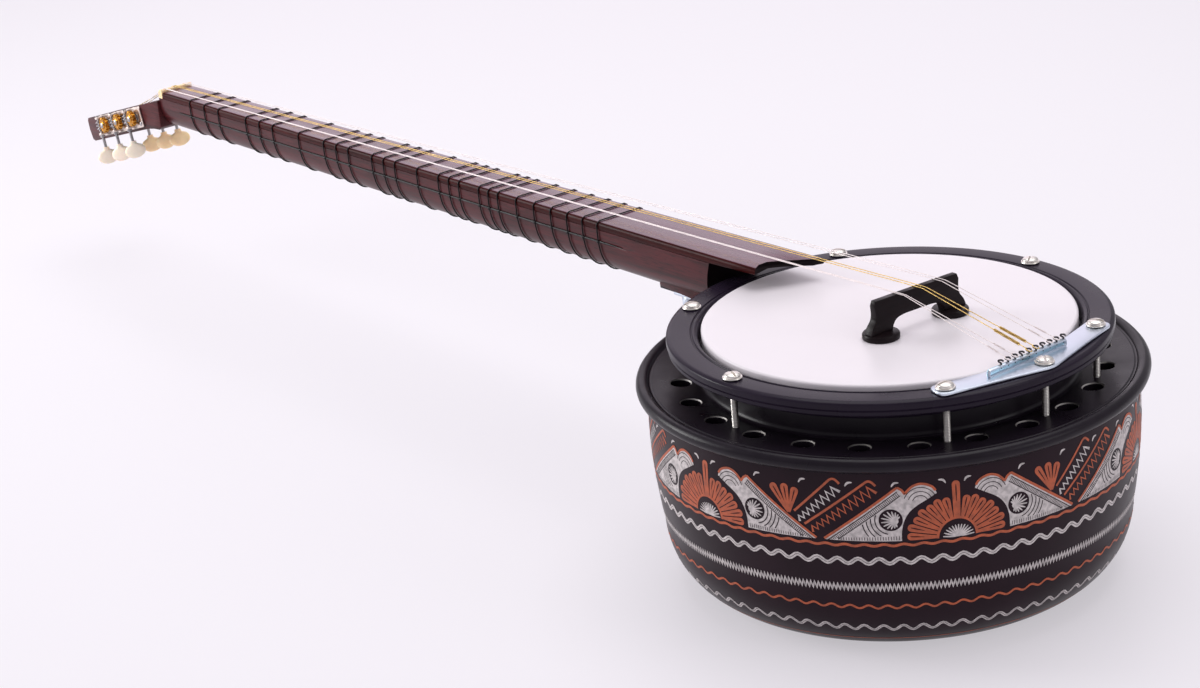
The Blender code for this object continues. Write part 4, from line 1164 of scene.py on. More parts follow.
def make_head():
    """Drum film with its rounded edge, the hoop inside it and the grooved hoop that the screws pull down."""
    steps = bpy.context.scene.cumbus_sizes.ring_steps
    edge = arc((FILM_RADIUS - 1.6, FILM_TOP - 1.6), (1.6, 1.6), 90, 0, 6)
    film = [(30.0, FILM_TOP), (70.0, FILM_TOP), (95.0, FILM_TOP), *edge, (FILM_RADIUS, -9.5),
            (FILM_RADIUS - 0.4, -9.5), (FILM_RADIUS - 0.4, 0.2), (FILM_RADIUS - 1.6, FILM_TOP - 0.5),
            (30.0, FILM_TOP - 0.5)]
    head = build("drum_film", (turned(film, steps), frosted_film()))
    hand_over(head, "pot", "head_film", "drumhead")

    flesh = rounded(rectangle(102.7, 106.4, -9.3, -13.0), 0.8)
    inner = build("inner_hoop", (turned(flesh, steps, wrap=True), hoop_enamel()))
    hand_over(inner, "hoop", "black_enamel", "flesh_hoop")

    hoop = rounded([
        (104.0, -2.6), (104.9, -0.9), (106.3, -0.2), (107.0, -0.2), (107.4, -0.9), (108.0, -0.9),
        (108.4, -0.2), (119.4, -0.2), (121.6, -1.2), (121.8, -4.6),
        (121.0, -5.6), (121.2, -7.9), (119.9, -8.5), (109.0, -8.5), (108.7, -14.3), (107.0, -14.3),
        (106.8, -8.9), (104.0, -8.9),
    ], 0.8)
    ring = build("screwed_hoop", (turned(hoop, steps, wrap=True), hoop_enamel()), sharp=60.0)
    hand_over(ring, "hoop", "black_enamel", "tension_hoop")


def slotted_head(seat, radius, height, slot_turn, centre, foot, shank, threads):
    """A domed screw head over a washer, with a threaded shank, as one closed shape."""
    dome = arc((0.0, seat + 1.5), (radius, height - 1.5), 0, 84, 9)
    profile = [(shank * 0.6, foot), (shank, foot + 0.6)]
    for i in range(threads):
        level = foot + 0.6 + (seat - 0.4 - foot - 0.6) * (i + 0.5) / threads
        profile.extend([(shank, level), (shank - 0.15, level + 0.35)])
    profile += [(shank, seat), (radius + 0.7, seat), (radius + 0.9, seat + 0.35), (radius + 0.7, seat + 0.8),
                (radius, seat + 0.9), *dome]
    shape = turned(profile, 28, centre=centre)
    x, y = polar(1.0, slot_turn)
    slot = [(centre[0] + a * x - b * y, centre[1] + a * y + b * x)
            for a, b in rectangle(-8.0, 8.0, -0.65, 0.65)]
    return shape, prism(slot, seat + height - 1.3, seat + height + 2.0)


def make_screws():
    """Seven slotted screws; the three of the tailpiece sit on its strip."""
    for number, angle in enumerate(SCREW_ANGLES, start=1):
        seat = 0.25 if abs(angle) > 30 else 0.45 + TAIL_PLATE
        centre = polar(SCREW_CIRCLE, angle)
        shape, slot = slotted_head(seat, 4.5, 3.1, angle + 35.0 * number, centre, SCREW_FOOT, 1.9, 46)
        screw = cut(build(f"hoop_screw_{number}", (shape, clear_zinc())), slot)
        hand_over(screw, f"screw_{number}", "zinc_plate", f"tension_screw_{number}")


def make_tailpiece():
    """Bent strip under three screws, with an upright channel of hooks that hold the string loops."""
    side = polar(SCREW_CIRCLE, 30)
    run = Vector((SCREW_CIRCLE - side[0], -side[1])).normalized()
    out = Vector((-run.y, run.x))
    half_width = 6.8
    end = Vector(side) - run * 6.6
    apex = half_width / abs(out.x)
    half = [(SCREW_CIRCLE + apex, 0.0), tuple(end + out * half_width), tuple(end - out * half_width),
            (SCREW_CIRCLE - apex, 0.0)]
    outline = rounded(half + [(x, -y) for x, y in half[2:0:-1]], 5.5, 6)
    strip = build("tail_strip", (prism(outline, 0.1, 0.1 + TAIL_PLATE), zinc_plate()))

    def channel(inset, radius):
        (left, right), low, high = TAIL_BAR_ENDS, TAIL_BAR_FOOT, TAIL_BAR_TOP
        return rounded([(left + inset, low + inset), (left + inset, high - inset),
                        (right - inset, high - inset), (right - inset, low + inset)], radius, 6)

    front, back = TAIL_BAR_X - TAIL_BAR_HALF_DEPTH, TAIL_BAR_X + TAIL_BAR_HALF_DEPTH
    # The channel's wall takes the darker zinc, painted shade between the pale rims
    wall = build("tail_wall", (prism(channel(0.0, 2.3), front, back - 0.5, endways), channel_shade_zinc()))
    rims = []
    for inset, radius, depth in ((0.0, 2.3, -0.6), (0.4, 2.0, 0.25), (1.2, 1.3, 0.25), (1.6, 1.0, -0.6)):
        rims.append([endways(y, z, back + depth) for y, z in channel(inset, radius)])
    rim = build("tail_rim", (loft(rims, wrap=True), zinc_plate()), sharp=60.0)
    parts = [bevelled(strip, 0.35), bevelled(wall, 0.3), rim]
    top = TAIL_BAR_TOP
    for i in range(HOOK_COUNT):
        y = (i - (HOOK_COUNT - 1) / 2.0) * HOOK_PITCH
        path = [(back - 0.9, y, 3.6), (back - 0.6, y, top - 0.3), (TAIL_BAR_X - 0.3, y + 0.1, top + 0.7),
                (front - 0.9, y + 0.2, top + 0.9), (front - 1.2, y + 0.3, top + 1.6),
                (TAIL_BAR_X + 0.1, y + 0.3, top + 2.3), (back + 0.6, y + 0.3, top + 2.0)]
        parts.append(build(f"hook_{i}", (tube(smooth_path(path, 5), 0.5, 8), dark_wire())))
    hand_over(joined("string_holder", parts), "hoop", "zinc_plate", "tailpiece")


def string_channels(places, x, radius, height):
    """Round channels along X, one for each string, to cut out of the nut or the bridge."""
    rings = [flat_circle(radius, 10, (y, height)) for y in places]
    return merged([prism(ring, x - 8.0, x + 8.0, endways) for ring in rings])


def make_bridge():
    """Arched black bridge on two round feet, with a notch for each string."""

    def placed(y, z, x):
        turned_x = x * math.cos(BRIDGE_TURN) - y * math.sin(BRIDGE_TURN)
        turned_y = x * math.sin(BRIDGE_TURN) + y * math.cos(BRIDGE_TURN)
        return (BRIDGE_X + turned_x, BRIDGE_Y + turned_y, z)

    outside = smooth_path([(30.2, 20.5), (29.6, 15.5), (30.2, 12.0), (32.6, 8.6), (34.0, 5.0)], 5)
    inside = smooth_path([(19.0, 5.0), (18.4, 7.0), (16.6, 9.6), (13.6, 11.0), (9.0, 11.6)], 5)
    half = [(29.2, BRIDGE_TOP), *outside, *inside]
    outline = half + [(-y, z) for y, z in half[::-1]]
    sections = []
    for x in (-3.0, 3.0):
        sections.append([placed(y, z, x * (1.0 - 0.38 * max(0.0, z - 6.0) / 17.4)) for y, z in outline])
    blade = build("bridge_blade", (loft(sections), black_wood_and_end_shade()))
    notches = string_channels(STRINGS_AT_BRIDGE, BRIDGE_X, 0.55, BRIDGE_TOP + 0.42)
    parts = [cut(bevelled(blade, 0.7), notches)]
    for side in (-1, 1):
        x, y, _ = placed(side * FOOT_SPREAD, 0.0, 0.0)
        low = FILM_TOP + 0.05
        profile = [(2.0, low), (FOOT_RADIUS - 0.3, low), (FOOT_RADIUS, low + 0.5), (FOOT_RADIUS, low + 2.5),
                   (FOOT_RADIUS - 0.5, low + 3.2), (FOOT_RADIUS - 1.6, low + 3.5), (3.0, low + 3.6)]
        parts.append(build(f"bridge_foot_{side}", (turned(profile, 48, centre=(x, y)), black_wood_and_end_shade())))
    hand_over(joined("arched_bridge", parts), "bridge", "bridge_black", "bridge")


# Neck, fingerboard, nut and frets


def board_top(x):
    """Height of the fingerboard's face along the neck."""
    return 14.7 + 0.0079 * (x + 102.0)


def board_half_width(x):
    """Half the width of the fingerboard along the neck."""
    return 13.35 + (x - NUT_X) / (-102.0 - NUT_X) * 5.55


def neck_depth(x):
    """Depth of the neck under the fingerboard."""
    return 28.2 + 0.0097 * (x - NUT_X) - BOARD_THICKNESS


def neck_side(x, drop):
    """Half the width of the neck at a drop below the fingerboard."""
    share = min(1.0, drop / neck_depth(x))
    return (board_half_width(x) - 0.25) * (1.0 - share ** NECK_ROUNDNESS) ** (1.0 / NECK_ROUNDNESS)


def neck_section(x, groove):
    """Half-round neck section from the near top corner under the neck to the far one."""
    half, top, deep = board_half_width(x) - 0.25, board_top(x) - BOARD_THICKNESS, neck_depth(x)
    points = [(-half, top)]
    for drop, inset in ((2.5, 0.0), (6.5, 0.0), (6.8, 0.5), (7.1, 0.7), (7.7, 0.7), (8.0, 0.5), (8.3, 0.0)):
        points.append((-neck_side(x, drop) + inset * groove, top - drop))
    shares = [0.46, 0.53, 0.6, 0.67, 0.74, 0.8, 0.86, 0.91, 0.95, 0.98, 0.995]
    points += [(-neck_side(x, s * deep), top - s * deep) for s in shares]
    points.append((0.0, top - deep))
    points += [(neck_side(x, s * deep), top - s * deep) for s in shares[::-1] + [0.38, 0.3, 0.2, 0.1]]
    return points + [(half, top)]


def make_neck():
    """Neck with a rounded back, the knots' groove along its near side and its slanting heel."""
    stations = [(NUT_X - 4.2, 0.0), (GROOVE_START, 0.0), (GROOVE_START + 16.0, 1.0)]
    stations += [(GROOVE_START + 16.0 + 480.0 * i / 12.0, 1.0) for i in range(1, 13)]
    stations += [(GROOVE_END - 22.0, 1.0), (GROOVE_END, 0.0), (REBATE_X - 0.4, 0.0), (REBATE_X, 0.0),
                 (-160.0, 0.0), (HEEL_X, 0.0)]
    sections = []
    for x, groove in stations:
        section = []
        for y, z in neck_section(x, groove):
            if x >= REBATE_X:
                z = max(z, REBATE_HEIGHT)
            lean = HEEL_LEAN * (z - board_top(x)) if x == HEEL_X else 0.0
            section.append((x + lean, y, z))
        sections.append(section)
    points, faces = loft(sections)
    # The heel's last face, against the hoop, takes the black bridge wood: painted shade
    neck = build("neck_shaft", ((points, faces[:-1]), neck_wood()), ((points, faces[-1:]), black_wood_and_end_shade()))
    cheeks = []
    for side in (-1, 1):
        cheeks.append(loft([[(x, side * y, z) for y, z in (
            (CHEEK_INNER, CHEEK_TOP), (outer, CHEEK_TOP), (outer, low), (CHEEK_INNER, low))]
            for x, outer, low in CHEEK_ENDS]))
    cheeks = bevelled(build("heel_cheeks", (merged(cheeks), neck_wood())), 0.3, 2)
    neck = joined("neck_shaft", [neck, cheeks])
    hand_over(neck, "neck", "stained_wood", "neck")


def make_fingerboard():
    """Board with rounded edges that reaches over the head and ends in a scoop."""
    end_curve = smooth_path(BOARD_END, 6)

    def end_at(y):
        for (y0, x0), (y1, x1) in zip(end_curve, end_curve[1:]):
            if y <= y1:
                return x0 + (x1 - x0) * max(0.0, y - y0) / (y1 - y0)
        return end_curve[-1][1]

    sections = []
    stations = [NUT_X + 1.9, NUT_X + 2.2] + [-760.0 + 630.0 * i / 10.0 for i in range(11)] + [-110.0, None]
    for station in stations:
        x = -80.0 if station is None else station
        half, top = board_half_width(x), board_top(x)
        thin = BOARD_THICKNESS - 1.2 * min(1.0, max(0.0, (x + 130.0) / 50.0))
        shoulder = [(half - 0.5, top - thin), (half, top - thin + 0.7), (half, top - 2.4)]
        shoulder += [(half - 2.2 + 2.2 * math.cos(a), top - 2.2 + 2.2 * math.sin(a))
                     for a in (math.radians(k) for k in (18, 36, 54, 72, 90))]
        level = [(half * k / 6.0, top) for k in (4, 2, 0, -2, -4)]
        under = [(-half * k / 6.0, top - thin) for k in (4, 2, 0, -2, -4)]
        outline = shoulder + level + [(-y, z) for y, z in shoulder[::-1]] + under
        sections.append([(end_at(y) if station is None else x, y, z) for y, z in outline])
    points, faces = loft(sections)
    count = len(sections[0])
    flat, rest = [], []
    for number, face in enumerate(faces[:-1]):
        on_top = number < len(faces) - 2 and number % count in BOARD_TOP_FACES
        (flat if on_top else rest).append(face)
    # The flat top takes the lit, varnished copy of the stain and the other faces its shaded copy; the scooped
    # end takes the black bridge wood, painted shade under the board's end
    board = build("finger_board", ((points, flat), board_wood()), ((points, rest), board_edge_shade_wood()),
                  ((points, faces[-1:]), black_wood_and_end_shade()), sharp=50.0)
    bevelled(board, 0.5)
    hand_over(board, "neck", "stained_wood", "fingerboard")


def make_nut():
    """Aged cream nut with a rounded top and six string slots."""
    low = board_top(NUT_X) - BOARD_THICKNESS
    outline = rounded([(NUT_X - 3.9, low), (NUT_X + 1.7, low), (NUT_X + 1.7, NUT_TOP), (NUT_X - 1.5, NUT_TOP),
                       (NUT_X - 3.9, NUT_TOP - 1.6)], 0.9, 3)
    nut = bevelled(build("string_nut", (prism(outline, -13.3, 13.3, across), aged_plastic())), 0.4)
    cut(nut, string_channels(STRINGS_AT_NUT, NUT_X, 0.5, NUT_TOP + 0.4))
    hand_over(nut, "neck", "nut_cream", "nut")


def make_frets():
    """Tied frets: one loop of line, scaled and tied at each fret's place by rule."""
    line_radius = bpy.context.scene.cumbus_sizes.fret_line / 2.0
    # The loop as it is at the nut, down the far side of the neck and up the near one
    half, deep = board_half_width(NUT_X) - FRET_BITE, neck_depth(NUT_X) + BOARD_THICKNESS
    grow = line_radius / MM + 0.12
    side = []
    for k in range(13):
        angle = math.radians(90.0 * k / 12.0)
        side.append((half * math.cos(angle) ** (2 / NECK_ROUNDNESS) + grow * math.cos(angle),
                     -BOARD_THICKNESS - (deep - BOARD_THICKNESS) * math.sin(angle) ** (2 / NECK_ROUNDNESS)
                     - grow * math.sin(angle)))
    over = [(half + grow, -1.8), (half - 0.35 + grow, -0.6), (half - 1.4, grow - 0.1)]
    loop = over[::-1] + side + [(-y, z) for y, z in side[::-1][1:]] + [(-y, z) for y, z in over]
    data = bpy.data.curves.new("fret_loop", "CURVE")
    data.dimensions = "3D"
    run = data.splines.new("POLY")
    run.points.add(len(loop) - 1)
    for point, (y, z) in zip(run.points, loop):
        point.co = (0.0, y * MM, z * MM, 1.0)
    run.use_cyclic_u = True
    pattern = add_object("fret_loop", data)

    places, sizes = [], []
    for semitones in FRET_SEMITONES:
        x = NUT_X + SCALE_LENGTH * (1.0 - 2.0 ** (-semitones / 12.0))
        places.append((x, 0.0, board_top(x)))
        sizes.extend((1.0, (board_half_width(x) - FRET_BITE) / half,
                      (neck_depth(x) + BOARD_THICKNESS - FRET_BITE) / deep))
    frets = build("fret_lines", ((places, []), nylon_line()))
    frets.data.attributes.new("size", "FLOAT_VECTOR", "POINT").data.foreach_set("vector", sizes)
    run_tree(frets, tree_named("tied_loops", fret_tree), {
        "Loop": pattern, "Line Radius": line_radius, "Material": nylon_line()})
    bpy.data.objects.remove(pattern, do_unlink=True)

    # The line that joins the knots, in its groove, and a knot on it at each fret
    path = []
    for i in range(25):
        x = GROOVE_START + 2.0 + (GROOVE_END - 6.0 - GROOVE_START) * i / 24.0
        path.append((x, -neck_side(x, KNOT_DROP) - 0.1, board_top(x) - BOARD_THICKNESS - KNOT_DROP))
    radii = [0.25] + [0.7] * (len(path) - 2) + [0.2]
    parts = [frets, build("knot_line", (tube(path, radii, 8), nylon_line()))]
    for number, place_of_fret in enumerate(places):
        x, y, z = point_at(path, place_of_fret[0])
        bend = [(x - 1.9, y - 0.4, z - 1.2), (x - 0.6, y - 0.7, z), (x + 0.8, y - 0.5, z + 0.9)]
        parts.append(build(f"knot_{number}", (tube(bend, [0.4, 0.8, 0.4], 8), nylon_line())))
    hand_over(joined("tied_fret_lines", parts), "neck", "fret_black", "tied_frets")


def point_at(path, x):
    """The point of a path along X at a given x."""
    for a, b in zip(path, path[1:]):
        if a[0] <= x <= b[0]:
            return Vector(a).lerp(Vector(b), (x - a[0]) / (b[0] - a[0]))
    return Vector(path[0] if x < path[0][0] else path[-1])


# Slotted head and tuning machines


def make_headstock():
    """Slotted head leaning back behind the nut, with rounded edges and six post holes."""
    start_x = NUT_X - 4.4
    start_height = head_point((NUT_X - start_x) / math.cos(HEAD_TILT), 0.0, 0.0)[2]
    back = -HEAD_THICKNESS
    outline = [(start_x, start_height + 0.3)]
    for u, n in ((HEAD_LENGTH - 1.0, 0.0), (HEAD_LENGTH + 0.6, -2.0), (HEAD_LENGTH + 1.2, back / 2.0),
                 (HEAD_LENGTH, back + 1.5), (HEAD_LENGTH - 3.0, back), (40.0, back), (30.0, back - 0.2),
                 (22.0, back - 1.0), (14.0, back - 2.6)):
        x, _, z = head_point(u, 0.0, n)
        outline.append((x, z))
    outline.append((start_x, board_top(NUT_X) - 27.8))
    head = build("slotted_head", (prism(outline, -HEAD_HALF_WIDTH, HEAD_HALF_WIDTH, across), neck_wood()))
    slots, holes = [], []
    for side in (-1, 1):
        slot = rounded(rectangle(*SLOT_ENDS, *(side * y for y in SLOT_SIDES)), 4.0, 6)
        slots.append(prism(slot, -30.0, 12.0, head_point))
        for spot in TUNER_PLACES:
            holes.append(prism(flat_circle(3.8, 24, (spot, POST_DEPTH)), side * 11.0, side * 17.0, head_side))
    cut(head, merged(slots))
    bevelled(head, 0.6)
    cut(head, merged(holes))
    hand_over(head, "neck", "stained_wood", "headstock")


def turned_on_head(name, profile, steps, side, centre, material):
    """Build a piece turned about an axis square to the head's side; side is -1 near and 1 far."""
    shape = turned([(r, side * y) for r, y in profile], steps, put=head_side, centre=centre)
    return build(name, (shape, material))


def make_tuner_plates():
    """Stamped side plates with two lugs for each worm, post holes and four pins."""
    face = HEAD_HALF_WIDTH + 1.5
    pin = [(1.9, face), (1.8, face + 0.5), (1.3, face + 0.95), (0.5, face + 1.15)]
    for side, name in ((-1, "near"), (1, "far")):
        inner, outer = side * (HEAD_HALF_WIDTH + 0.1), side * face
        outline = rounded(rectangle(*PLATE_ENDS, POST_DEPTH - 8.6, POST_DEPTH + 8.0), 2.2)
        plate = build(f"plate_{name}", (prism(outline, inner, outer, head_side), nickel_plate()))
        rings = [flat_circle(3.7, 24, (spot, POST_DEPTH)) for spot in TUNER_PLACES]
        cut(plate, merged([prism(ring, inner - side * 2.0, outer + side * 2.0, head_side) for ring in rings]))
        parts = [bevelled(plate, 0.25, 2)]
        for spot in TUNER_PLACES:
            worm_u = spot + WORM_OFFSET
            lug = rounded(rectangle(worm_u - 2.4, worm_u + 2.4, outer - side * 0.3, side * 22.2), 2.0, 5)
            for end in (-1, 1):
                shape = prism(lug, POST_DEPTH + end * 5.5, POST_DEPTH + end * 7.3, head_point)
                parts.append(bevelled(build("lug", (shape, nickel_plate())), 0.2, 2))
        for u in PLATE_PINS:
            parts.append(turned_on_head("plate_pin", pin, 16, side, (u, POST_DEPTH - 5.6), plain_steel()))
        hand_over(joined(f"machine_plate_{name}", parts), "neck", "plate_nickel", f"tuner_plate_{name}")


def gear_shape(centre, side):
    """Bevel-cut brass gear with dished faces."""
    pitch = 2.0 * math.pi / GEAR_TEETH
    outline = [(r, i * pitch + half / r) for i in range(GEAR_TEETH) for r, half in GEAR_TOOTH]
    sections = []
    for depth, scale in ((-1.6, 0.93), (-1.1, 1.0), (1.1, 1.0), (1.6, 0.93)):
        sections.append([head_side(centre[0] + r * scale * math.cos(a), centre[1] + r * scale * math.sin(a),
                                   side * (GEAR_CENTRE_Y + depth)) for r, a in outline])
    return loft(sections)


def worm_shape(worm_u, side):
    """Worm with its shaft down to the button; the thread leaves a gap for the gear's tooth."""
    pitch = 2.0 * math.pi * GEAR_PITCH_RADIUS / GEAR_TEETH
    rows = 48
    shaft = ((BUTTON_TOP - POST_DEPTH - 0.2, 1.2), (-9.2, 1.2), (-9.0, 2.1), (-7.5, 2.1), (-7.4, 1.2),
             (-4.9, 1.2), (-4.5, 1.5))
    tip = ((4.5, 1.5), (4.9, 1.2), (7.5, 1.2), (7.6, 1.9), (8.2, 1.9), (8.4, 1.2))
    levels = [*shaft, *(((i - rows / 2.0) * 7.8 / rows, None) for i in range(rows + 1)), *tip]

    def thread(n, angle):
        phase = (n - pitch * angle / (2.0 * math.pi)) % pitch
        return max(1.5, 2.95 - 2.4 * max(0.0, min(phase, pitch - phase) - 0.25))

    sections = []
    for n, plain in levels:
        section = []
        for a in full_turn(20):
            radius = plain or thread(n, a)
            section.append(head_point(worm_u + radius * math.cos(a),
                                      side * GEAR_CENTRE_Y - radius * math.sin(a), POST_DEPTH + n))
        sections.append(section)
    return loft(sections)


def button_shape(worm_u, side, turn):
    """Flat paddle button with a round collar at its top."""
    sections = []
    for drop, half, thick in smooth_path(BUTTON_PROFILE, 3):
        section = []
        for angle in full_turn(24):
            a = half * math.copysign(abs(math.cos(angle)) ** 0.85, math.cos(angle))
            b = thick * math.copysign(abs(math.sin(angle)) ** 0.85, math.sin(angle))
            section.append(head_point(worm_u + a * math.cos(turn) - b * math.sin(turn),
                                      side * GEAR_CENTRE_Y + a * math.sin(turn) + b * math.cos(turn),
                                      BUTTON_TOP - drop))
        sections.append(section)
    return loft(sections)


def make_machines():
    """Six machines: slotted post and brass gear on one body, worm and cream button on another."""
    face = GEAR_CENTRE_Y + 1.6
    collar = [(3.0, face - 0.3), (3.0, face + 0.3), (2.6, face + 0.6), (2.2, face + 0.7)]
    screw = [(2.2, face), (2.2, face + 0.9), (1.7, face + 1.4), (0.6, face + 1.6)]
    post = [(2.9, 2.8), (POST_RADIUS, 3.1), (POST_RADIUS, 4.0), (2.7, 4.6), (2.7, 10.2), (POST_RADIUS, 10.8),
            (POST_RADIUS, GEAR_CENTRE_Y - 1.8)]
    for side, name in ((-1, "near"), (1, "far")):
        for i, spot in enumerate(TUNER_PLACES):
            label = f"{name}_{i + 1}"
            centre = (spot, POST_DEPTH)
            gear = build(f"gear_{label}", (gear_shape(centre, side), bright_brass()), sharp=30.0)
            caps = [turned_on_head("gear_collar", collar, 20, side, centre, bright_brass()),
                    turned_on_head("gear_screw", screw, 20, side, centre, plain_steel())]
            slot = rectangle(spot - 3.0, spot + 3.0, side * (face + 1.0), side * (face + 3.0))
            cut(caps[1], prism(slot, POST_DEPTH - 0.35, POST_DEPTH + 0.35, head_point))
            hand_over(joined(f"tuner_wheel_{label}", [gear] + caps), f"post_{label}", "gear_brass",
                      f"tuner_gear_{label}")
            rod = turned_on_head(f"string_post_{label}", post, 24, side, centre, plain_steel())
            hand_over(rod, f"post_{label}", "plain_steel", f"tuner_post_{label}")

            worm_u = spot + WORM_OFFSET
            worm = build(f"worm_screw_{label}", (worm_shape(worm_u, side), plain_steel()))
            hand_over(worm, f"worm_{label}", "plain_steel", f"tuner_worm_{label}")
            turn = -math.radians(BUTTON_TURNS[i])
            # The far buttons take the tan plastic: a painted glow of light through the same cream plastic
            plastic = cream_plastic() if side < 0 else aged_plastic()
            button = build(f"peg_button_{label}", (button_shape(worm_u, side, turn), plastic), sharp=60.0)
            hand_over(button, f"worm_{label}", "button_cream", f"tuner_button_{label}")


# Neck joint


def make_joint():
    """Arm on the flange, plate under the heel, pivot pin, tilt bolt and the arm's screws."""
    low = ARM_TOP - ARM_THICKNESS
    start, end = ARM_ENDS
    seat = -131.5
    seat_in, seat_out = (FLANGE_TOP + (radius - SHELL_OUTER - 2.4) * FLANGE_SLOPE + 0.1
                         for radius in (-end, -seat))
    outline = rounded([
        (start, low), (-152.5, low), (-151.5, -30.4), (-144.5, -30.4), (-143.5, low), (seat, low),
        (seat, seat_out), (end, seat_in), (end, ARM_TOP), (start, ARM_TOP)], 0.8, 2)
    arm = build("flange_arm", (prism(outline, -ARM_HALF_WIDTH, ARM_HALF_WIDTH, across), zinc_plate()))
    bolt_hole = flat_circle(3.0, 20, (TILT_BOLT_X, 0.0))
    cut(arm, prism(flat_circle(2.1, 20, PIVOT), -20.0, 20.0, across), prism(bolt_hole, -40.0, -10.0))
    hand_over(bevelled(arm, 0.3, 2), "pot", "zinc_plate", "neck_arm")

    top = REBATE_HEIGHT - 0.1
    under = top - 1.6
    sheet = rounded(rectangle(*SHEET_ENDS, -SHEET_HALF_WIDTH, SHEET_HALF_WIDTH), 2.0)
    # The plate and its ears take the dark zinc, painted shade under the heel
    plate = build("heel_sheet", (prism(sheet, under, top), black_zinc()))
    parts = [bevelled(cut(plate, prism(bolt_hole, -24.0, -16.0)), 0.3, 2)]
    ear = rounded([(-154.0, under + 0.5), (-142.2, under + 0.5), (-143.0, -29.4), (-148.0, -31.0),
                   (-153.0, -29.4)], 2.0)
    for side in (-1, 1):
        inner, outer = side * (ARM_HALF_WIDTH + 0.4), side * (ARM_HALF_WIDTH + 2.4)
        lug = build("ear", (prism(ear, inner, outer, across), black_zinc()))
        cut(lug, prism(flat_circle(2.4, 20, PIVOT), inner - side, outer + side, across))
        parts.append(bevelled(lug, 0.25, 2))
    dome = [(2.0, under + 0.2), (2.0, under - 0.15), (1.4, under - 0.45), (0.4, under - 0.6)]
    for centre in HEEL_SCREWS:
        parts.append(build("heel_screw", (turned(dome, 14, centre=centre), plain_steel())))
    hand_over(joined("heel_hinge_plate", parts), "neck", "zinc_plate", "heel_plate")

    face = ARM_HALF_WIDTH + 2.7
    profile = [(2.4, -face - 1.9), (3.4, -face - 1.4), (3.7, -face - 0.7), (3.6, -face), (2.0, -face),
               (2.0, face), (3.2, face), (3.3, face + 0.8), (2.6, face + 1.5)]
    rod = turned(profile, 28, put=across, centre=PIVOT)
    hand_over(build("pivot_rod", (rod, zinc_plate())), "pot", "zinc_plate", "neck_pivot_pin")

    under = low - 0.1
    knob = []
    for radius, height in ((3.0, under - 7.0), (5.4, under - 6.9), (6.3, under - 6.2), (6.4, under - 5.4),
                           (6.4, under - 0.8), (5.8, under), (2.5, under), (2.5, -19.8)):
        # Every other point of the grip lies deeper, which ribs it
        grip = []
        for j, a in enumerate(full_turn(48)):
            r = radius - (0.45 if radius > 6.0 and j % 2 else 0.0)
            grip.append((TILT_BOLT_X + r * math.cos(a), r * math.sin(a), height))
        knob.append(grip)
    hand_over(build("tilt_knob", (loft(knob), zinc_plate())), "tilt_bolt", "zinc_plate", "tilt_bolt")

    for side, name in ((-1, "near"), (1, "far")):
        shape, slot = slotted_head(ARM_TOP + 0.1, 2.4, 2.0, 30.0 * side, (-127.0, side * 3.9), -36.0, 1.6, 8)
        screw = cut(build(f"arm_bolt_{name}", (shape, clear_zinc())), slot)
        hand_over(screw, "pot", "zinc_plate", f"arm_screw_{name}")


# Strings


def make_strings():
    """Three pairs of strings from the hooks over bridge and nut to the posts, with their windings."""
    sizes = bpy.context.scene.cumbus_sizes
    for i in range(6):
        wound = i in (2, 3)
        radius = (sizes.wound_string if wound else sizes.plain_string) / 2.0 / MM
        material, slot = (wound_bronze(), "wound_bronze") if wound else (string_steel_painted_highlight(), "plain_steel")
        spot = TUNER_PLACES[STRING_POSTS[i]]
        anchor = Vector((TAIL_BAR_X + 0.6, STRINGS_AT_TAIL[i], TAIL_BAR_TOP + 1.5))
        rest, leave = ((BRIDGE_X + along, STRINGS_AT_BRIDGE[i], BRIDGE_TOP + radius)
                       for along in (STRING_REST, -STRING_REST))
        nut = (NUT_X + 1.7, STRINGS_AT_NUT[i], NUT_TOP + radius)
        along = (Vector(rest) - anchor).normalized()
        route = [anchor + along * 3.8, rest, leave]
        route += [Vector(leave).lerp(Vector(nut), k / 40.0) for k in range(1, 41)]
        route += [(NUT_X - 1.6, STRINGS_AT_NUT[i], NUT_TOP + radius - 0.1),
                  head_point(spot + 0.2, STRINGS_AT_POST[i], POST_DEPTH + 2.9 + radius)]
        name = f"string_wire_{i + 1}"
        wire = build(name, (tube(route, radius, 8), material), sharp=60.0)
        wrap, turns, reach = (0.3, 22.0, 18.0) if wound else (0.16, 9.0, 8.0)
        twist = coil(f"twist_{i}", anchor + along * 7.5, along, turns, radius + wrap, reach, wrap, material)
        ring = [(anchor.x + 0.3 + dx, anchor.y + dy, anchor.z - 0.2 + dz) for dx, dy, dz in (
            (-3.6, 0.0, 0.9), (-1.5, 0.9, 0.4), (0.6, 0.7, 0.0), (1.0, 0.0, -0.1), (0.6, -0.7, 0.0),
            (-1.5, -0.9, 0.4), (-3.6, 0.0, 0.9))]
        eye = build(f"string_loop_{i + 1}", (tube(smooth_path(ring, 4), 0.28, 6), material), sharp=60.0)
        hand_over(eye, "hoop", slot)
        piece = joined(name, [wire, twist])
        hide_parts(f"string_{i + 1}")
        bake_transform(piece)

        side = -1 if i < 3 else 1
        label = f"{'near' if side < 0 else 'far'}_{STRING_POSTS[i] + 1}"
        wraps = coil(f"post_wraps_{label}", head_point(spot, STRINGS_AT_POST[i] - side * 1.9, POST_DEPTH),
                     (0.0, float(side), 0.0), 4.0, 2.75 + radius, 4.0 * 2.2 * radius, radius, material)
        hand_over(wraps, f"post_{label}", slot)


# Stage


